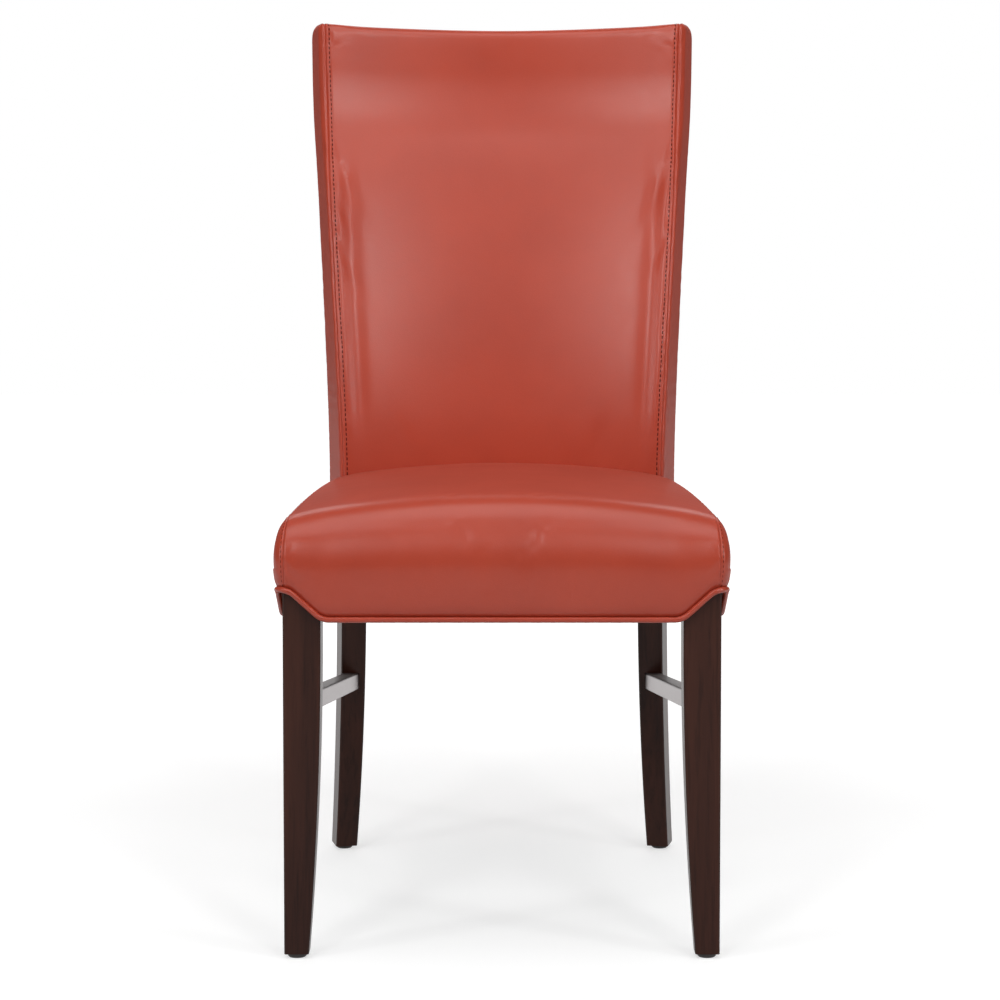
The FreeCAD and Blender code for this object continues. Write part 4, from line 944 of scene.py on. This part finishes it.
panels = seat_panels()
seat_front = panel("seat_top_panel", seat_final, panels["main"], "seat_cover_main")
panel("seat_side_panel_left", seat_final, panels["left"], "seat_cover_side_left")
panel("seat_side_panel_right", seat_final, panels["right"], "seat_cover_side_right")


# Welts: a round cord in leather, swept along the lower edges

def travel(path):
    """Distance along a path at each of its points."""
    return np.concatenate([[0], np.cumsum(np.linalg.norm(np.diff(path, axis=0), axis=1))])


def mirrored(half):
    """The same points on the chair's other side, in the opposite order."""
    other = half[::-1].copy()
    other[:, 0] *= -1
    return other


def welt(name, path, node):
    """A cord along a path, a little uneven in its thickness."""
    sides = 14
    way = np.gradient(path, axis=0)
    way /= np.linalg.norm(way, axis=1)[:, None]
    across = np.cross(way, (0.0, 0.0, 1.0))
    across /= np.linalg.norm(across, axis=1)[:, None]
    rise = np.cross(across, way)
    uneven = 1 + 0.035 * wander(travel(path), (7.0, 17.0, 41.0), (0.4, 0.35, 0.25))
    rings = []
    for k in range(sides):
        angle = 2 * math.pi * k / sides
        around = across * math.cos(angle) + rise * math.sin(angle)
        rings.append(path + around * (WELT_RADIUS * uneven)[:, None])
    points = np.stack(rings, axis=1).reshape(-1, 3)
    faces = []
    for j in range(len(path) - 1):
        for k in range(sides):
            m = (k + 1) % sides
            faces.append((j * sides + k, j * sides + m, (j + 1) * sides + m, (j + 1) * sides + k))
    faces.append(tuple(range(sides)))
    faces.append(tuple(len(points) - sides + k for k in reversed(range(sides))))
    ride(new_object(name, row_frame(points), faces, welt_leather), "leather", node)


def seat_welt_path():
    """The welt's middle line, from the right side's rear end round the front to the left's."""
    inset = LEATHER / 2
    corner_x = side_x(inset) - (SEAT_DRAW_IN + inset) / math.cos(SLANT)
    radius = SEAT_CORNER - inset
    turn_end = math.pi / 2 + SLANT
    centre_x = corner_x - radius * math.tan(turn_end / 2)
    centre_y = inset + radius
    plan = [(x, inset) for x in np.linspace(0, centre_x, 90)[:-1]]
    for angle in np.linspace(0, turn_end, 14):
        plan.append((centre_x + radius * math.sin(angle), centre_y - radius * math.cos(angle)))
    end = plan[-1]
    reach = SEAT_DEPTH - SEAT_CORNER - end[1]
    for part in np.linspace(0, 1, 150)[1:]:
        plan.append((end[0] - reach * part * math.tan(SLANT), end[1] + reach * part))
    plan = np.array(plan)
    z = skirt(plan[:, 0], plan[:, 1]) - COVER_BOTTOM + SEAT_BOTTOM
    half = np.column_stack([plan, z])
    return np.concatenate([mirrored(half)[:-1], half])


def back_welt_path():
    """Under the gussets' feet and the rear panel."""
    inset = LEATHER / 2
    rear = back_rear_at(SEAT_BOTTOM) - inset
    foot = POST_RADIUS - GUSSET_LEAD
    corner = BACK_SIDE_ROLL - inset
    straight = math.sqrt((rear - corner) ** 2 - BACK_SIDE_ROLL ** 2)

    def spot(along, side):
        return beside_plane(np.array([math.hypot(along, side)]), np.array([SEAT_BOTTOM]), side, 1)[0]

    plan = [spot(along, inset) for along in np.linspace(foot, straight, 20)[:-1]]
    for angle in np.linspace(0, math.pi / 2, 10):
        plan.append(spot(straight + corner * math.sin(angle), inset + corner * (1 - math.cos(angle))))
    last = plan[-1]
    radius = math.hypot(last[0], last[1] - AXIS_Y)
    for angle in np.linspace(math.atan2(last[0], last[1] - AXIS_Y), 0, 70)[1:]:
        plan.append(np.array([radius * math.sin(angle), AXIS_Y + radius * math.cos(angle), SEAT_BOTTOM]))
    half = np.array(plan)
    half[:, 0] *= wider(SEAT_BOTTOM)
    return np.concatenate([half, mirrored(half)[1:]])


welt("seat_piping", seat_welt_path(), "seat_welt")
welt("back_piping", back_welt_path(), "back_welt")


# Stitches. A stitch's shape: part of its length, height over the leather, share of its thickness
STITCH_SHAPE = ((0.0, -0.5, 0.55), (0.15, 0.05, 0.95), (0.5, 0.22, 1.0), (0.85, 0.05, 0.95),
                (1.0, -0.5, 0.55))
STITCH_SIDES = 6
BACK_STITCH_INSET = 11.5
SEAT_STITCH_INSET = 8.7
BACK_STITCH_FOOT = 448.0


def stitches(name, lines, pitch, length, radius):
    """Short threads lying on the leather. lines are lists of points with their normals."""
    sides = STITCH_SIDES
    points = []
    faces = []
    for path, normals in lines:
        travelled = travel(path)
        count = int(travelled[-1] / pitch)
        for k in range(count):
            start = (k + 0.5) * travelled[-1] / count - length / 2
            spots = []
            for part, lift, girth in STITCH_SHAPE:
                at = start + part * length
                spot = np.array([np.interp(at, travelled, path[:, c]) for c in range(3)])
                out = np.array([np.interp(at, travelled, normals[:, c]) for c in range(3)])
                out /= np.linalg.norm(out)
                spots.append((spot + out * lift, out, girth))
            way = spots[-1][0] - spots[0][0]
            way /= np.linalg.norm(way)
            base = len(points)
            for spot, out, girth in spots:
                across = np.cross(way, out)
                for s in range(sides):
                    angle = 2 * math.pi * s / sides
                    points.append(spot + (across * math.cos(angle) + out * math.sin(angle)) * radius * girth)
            for j in range(len(spots) - 1):
                for s in range(sides):
                    t = (s + 1) % sides
                    faces.append((base + j * sides + s, base + j * sides + t,
                                  base + (j + 1) * sides + t, base + (j + 1) * sides + s))
            faces.append(tuple(base + s for s in reversed(range(sides))))
            faces.append(tuple(base + (len(spots) - 1) * sides + s for s in range(sides)))
    ride(new_object(name, row_frame(np.array(points)), faces, thread), "leather")


def seam_lines(points, faces, columns):
    """Points and normals along columns of a skin's point numbers."""
    normals = normals_of(points, faces)
    return [(points[ids], normals[ids]) for ids in columns]


grid = back_ids["main"]
rows = slice(int(np.argmax(inner_heights > BACK_STITCH_FOOT)), seam_row - 2)
inward = len(BACK_INSETS) - 1 - int(np.where(BACK_INSETS == BACK_STITCH_INSET)[0][0])
lines = seam_lines(back_final, back_faces, [grid[rows, inward], grid[rows, grid.shape[1] - 1 - inward]])
stitches("back_stitches", lines, 6.0, 4.2, 0.62)

rows = slice(2, -22)
inward = int(np.argmin(np.abs(SIDE_INSETS - SEAT_STITCH_INSET)))
columns = [seat_ids["edge_left"][rows, inward],
           seat_ids["edge_right"][rows, len(SIDE_INSETS) - 1 - inward]]
stitches("seat_stitches", seam_lines(seat_final, seat_faces, columns), 5.2, 3.2, 0.30)


# Hidden soft pieces: foam, wadding, straps and the cloth below

def soft_copy(name, node, material, voxel, shrink):
    """A foam form made from a CAD solid: remeshed, eased and a little smaller."""
    obj = placed(name, NODES[node].data.copy())
    remesh = obj.modifiers.new("remesh", "REMESH")
    remesh.mode = "VOXEL"
    remesh.voxel_size = voxel
    remesh.use_smooth_shade = True
    ease = obj.modifiers.new("ease", "SMOOTH")
    ease.factor = 0.5
    ease.iterations = 3
    smaller = obj.modifiers.new("smaller", "DISPLACE")
    smaller.strength = -shrink
    smaller.mid_level = 0.0
    evaluated = obj.evaluated_get(bpy.context.evaluated_depsgraph_get())
    final = bpy.data.meshes.new_from_object(evaluated)
    obj.modifiers.clear()
    obj.data = final
    dress(final, material)
    ride(obj, "foam", node)
    return obj


def tuck_foam(obj):
    """Draws the foam's front edge inside the cover's long roll."""
    spare = 1 - 5.0 / SEAT_FRONT_ROLL
    for vertex in obj.data.vertices:
        x, y, z = vertex.co * 1000
        y += SHIFT_Y
        if y < SEAT_FRONT_ROLL and z > SEAT_ROLL_START:
            ahead = (SEAT_FRONT_ROLL - y) / SEAT_FRONT_ROLL
            above = (z - SEAT_ROLL_START) / roll_height(x)
            reach = math.hypot(ahead, above)
            if reach > spare:
                share = spare / reach
                vertex.co.y = (SEAT_FRONT_ROLL * (1 - ahead * share) - SHIFT_Y) / 1000
                vertex.co.z = (SEAT_ROLL_START + roll_height(x) * above * share) / 1000


def settle_top(obj):
    """Lowers the padding's top edge with the cover's, and a little more."""
    for vertex in obj.data.vertices:
        x, _, z = vertex.co * 1000
        drop = PADDING_DIP - corner_rise(x)
        if z > DIP_START and drop > 0:
            vertex.co.z -= drop * float(near_top(z)) / 1000


bpy.context.view_layer.update()
tuck_foam(soft_copy("seat_foam_block", "seat_foam", foam_material, 0.005, 0.0012))
settle_top(soft_copy("back_foam_block", "back_foam", foam_material, 0.005, 0.0012))
settle_top(soft_copy("back_wadding", "back_wrap", wadding, 0.003, 0.0006))
soft_copy("seat_edge_pad", "seat_rail_padding", wadding, 0.002, 0.0002)


def lattice(name, node, material, slot, spacing, wave, axes=(0, 1)):
    """A cloth piece made from a CAD solid, cut into small faces so that it can ripple."""
    bm = bmesh.new()
    bm.from_mesh(NODES[node].data)
    bmesh.ops.remove_doubles(bm, verts=bm.verts, dist=1e-6)
    low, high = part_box(node)
    for axis in axes:
        normal = Vector((0, 0, 0))
        normal[axis] = 1
        count = int((high[axis] - low[axis]) / spacing)
        for k in range(1, count):
            spot = Vector(low)
            spot[axis] = low[axis] + (high[axis] - low[axis]) * k / count
            parts = bm.verts[:] + bm.edges[:] + bm.faces[:]
            bmesh.ops.bisect_plane(bm, geom=parts, plane_co=spot, plane_no=normal)
    for v in bm.verts:
        v.co += Vector(wave(v.co, low, high))
    mesh = bpy.data.meshes.new(name)
    bm.to_mesh(mesh)
    bm.free()
    mesh.materials.append(material)
    return ride(placed(name, mesh), slot, node)


def sag(co, low, high):
    """The lining hangs a little between the rails."""
    u = (co.x - low.x) / (high.x - low.x) * 2 - 1
    v = (co.y - low.y) / (high.y - low.y) * 2 - 1
    depth = max(0.0, 1 - u ** 4) * max(0.0, 1 - v ** 4)
    ripple = 0.0002 * math.sin(co.x * 95) * math.sin(co.y * 70 + 1)
    return (0, 0, -0.0022 * depth + ripple * depth)


def slack(co, low, high):
    return (0, 0, 0.00012 * math.sin(co.x * 160 + 1) * math.sin(co.y * 130))


cloth = lattice("seat_underside_cloth", "dust_cover", lining, "lining_cloth", 0.012, sag)
lattice("seat_straps_long", "seat_webbing_long", webbing, "webbing", 0.010, slack)
lattice("seat_straps_cross", "seat_webbing_cross", webbing, "webbing", 0.010, slack)
lattice("back_straps", "back_webbing", webbing, "webbing", 0.012, slack, axes=(2,))


# Rigid pieces keep their CAD shapes
FINISHES = (
    (show_wood, ("front_leg_left", "front_leg_right", "rear_post_left", "rear_post_right")),
    (frame_wood, ("front_rail", "side_rail_left", "side_rail_right", "rear_rail", "lower_back_rail",
                  "mid_back_rail", "crest_rail", "corner_blocks")),
    (bar_steel, ("stretcher_bar_left", "stretcher_bar_right")),
    (plug_plastic, ("stretcher_plugs",)),
    (fastener, ("stretcher_studs", "corner_block_screws")),
    (glide_plastic, ("glides",)),
)
for finish, names in FINISHES:
    for name in names:
        dress(NODES[name].data, finish)


# Floor, light and camera

def ray_kinds(owner):
    """1 for the camera's own rays, and 1 for those of gloss and glass."""
    path = add(owner, "ShaderNodeLightPath").outputs
    return path["Is Camera Ray"], reckon(owner, "MAXIMUM", path["Is Glossy Ray"], path["Is Transmission Ray"])


def stage_plane(size=14.0):
    """A pale floor that keeps the chair's shadow and turns into the white background further off."""
    mesh = bpy.data.meshes.new("floor")
    mesh.from_pydata([(-size, -size, 0), (size, -size, 0), (size, size, 0), (-size, size, 0)], [],
                     [(0, 1, 2, 3)])
    material, node = shader("floor", grey(0.50), 0.9, specular=0.1)
    coords = add(material, "ShaderNodeTexCoord").outputs["Object"]
    away = ordered(material, "ShaderNodeVectorMath", coords, operation="LENGTH").outputs["Value"]
    glow = add(material, "ShaderNodeEmission", Strength=spread(material, away, 0.7, 3.0, 0.62, 1.0))
    plain = node.outputs["BSDF"]
    both = ordered(material, "ShaderNodeAddShader", plain, glow.outputs["Emission"])
    seen = reckon(material, "MAXIMUM", *ray_kinds(material))
    choose = ordered(material, "ShaderNodeMixShader", seen, plain, both.outputs["Shader"])
    feed(material, material.node_tree.nodes["Material Output"].inputs["Surface"], choose.outputs["Shader"])
    mesh.materials.append(material)
    placed("floor", mesh)


def sky(strength):
    """Soft light all round, and a white background."""
    world = bpy.data.worlds.new("studio")
    bpy.context.scene.world = world
    world.use_nodes = True
    nodes = world.node_tree.nodes
    soft = nodes["Background"]
    soft.inputs["Color"].default_value = (1, 1, 1, 1)
    soft.inputs["Strength"].default_value = strength
    white = add(world, "ShaderNodeBackground", Color=(1, 1, 1, 1), Strength=1.0)
    # The camera sees white all round, and gloss and glass see the white backdrop behind the chair
    coords = add(world, "ShaderNodeTexCoord").outputs["Generated"]
    split = add(world, "ShaderNodeSeparateXYZ", Vector=coords)
    behind = spread(world, split.outputs["Y"], 0.93, 0.98)
    low = spread(world, split.outputs["Z"], 0.13, 0.03)
    camera_rays, mirror_rays = ray_kinds(world)
    backdrop = reckon(world, "MULTIPLY", mirror_rays, reckon(world, "MULTIPLY", behind, low))
    seen = reckon(world, "MAXIMUM", camera_rays, backdrop)
    choose = ordered(world, "ShaderNodeMixShader", seen, soft.outputs[0], white.outputs[0])
    feed(world, nodes["World Output"].inputs["Surface"], choose.outputs[0])


# Name, place, target, width and height in metres, power in watts
LAMPS = (
    ("left_box", (-1.55, -3.80, 3.25), (0, 0.1, 0.75), 0.62, 1.7, 43),
    ("right_box", (1.55, -3.80, 3.25), (0, 0.1, 0.75), 0.62, 1.7, 43),
    ("middle_box", (0, -3.90, 3.60), (0, 0.1, 0.75), 1.6, 1.9, 4),
    ("left_strip", (-2.5, -2.0, 1.7), (-0.1, 0.0, 0.9), 0.25, 2.0, 18),
    ("right_strip", (2.5, -2.0, 1.7), (0.1, 0.0, 0.9), 0.25, 2.0, 18),
    ("top_bank", (0, -0.75, 3.1), (0, 0.15, 0.8), 3.0, 1.6, 36),
    ("rear_bank", (0, 2.4, 2.4), (0, 0, 0.7), 2.4, 1.4, 24),
)
stage_plane()
sky(0.15)
for name, place, target, width, height, power in LAMPS:
    lamp = bpy.data.lights.new(name, "AREA")
    lamp.shape = "RECTANGLE"
    lamp.size = width
    lamp.size_y = height
    lamp.energy = power
    obj = placed(name, lamp)
    obj.location = place
    obj.rotation_euler = (Vector(target) - Vector(place)).to_track_quat("-Z", "Y").to_euler()

# The camera was worked out in pixels of a picture 1000 wide
PICTURE = 1000
LENS = 2534.4
SENSOR = 36
HORIZON_UP = 210              # the horizon's height over the picture's middle
AXIS_UP = 50                  # the same for the point the lens looks at
AXIS_LEFT = 2
EYE_AHEAD = 2640              # millimetres in front of the seat's front
camera = bpy.data.cameras.new("camera")
camera.sensor_width = SENSOR
camera.lens = LENS / PICTURE * SENSOR
camera.shift_y = -AXIS_UP / PICTURE
camera.shift_x = -AXIS_LEFT / PICTURE
camera.clip_start = 0.1
camera.clip_end = 60
eye = placed("camera", camera)
eye.location = (0, -(EYE_AHEAD + SHIFT_Y) / 1000, 0.7083)
eye.rotation_euler = (math.pi / 2 - math.atan((HORIZON_UP - AXIS_UP) / LENS), 0, 0)
bpy.context.scene.camera = eye
bpy.context.scene.view_settings.view_transform = "Standard"
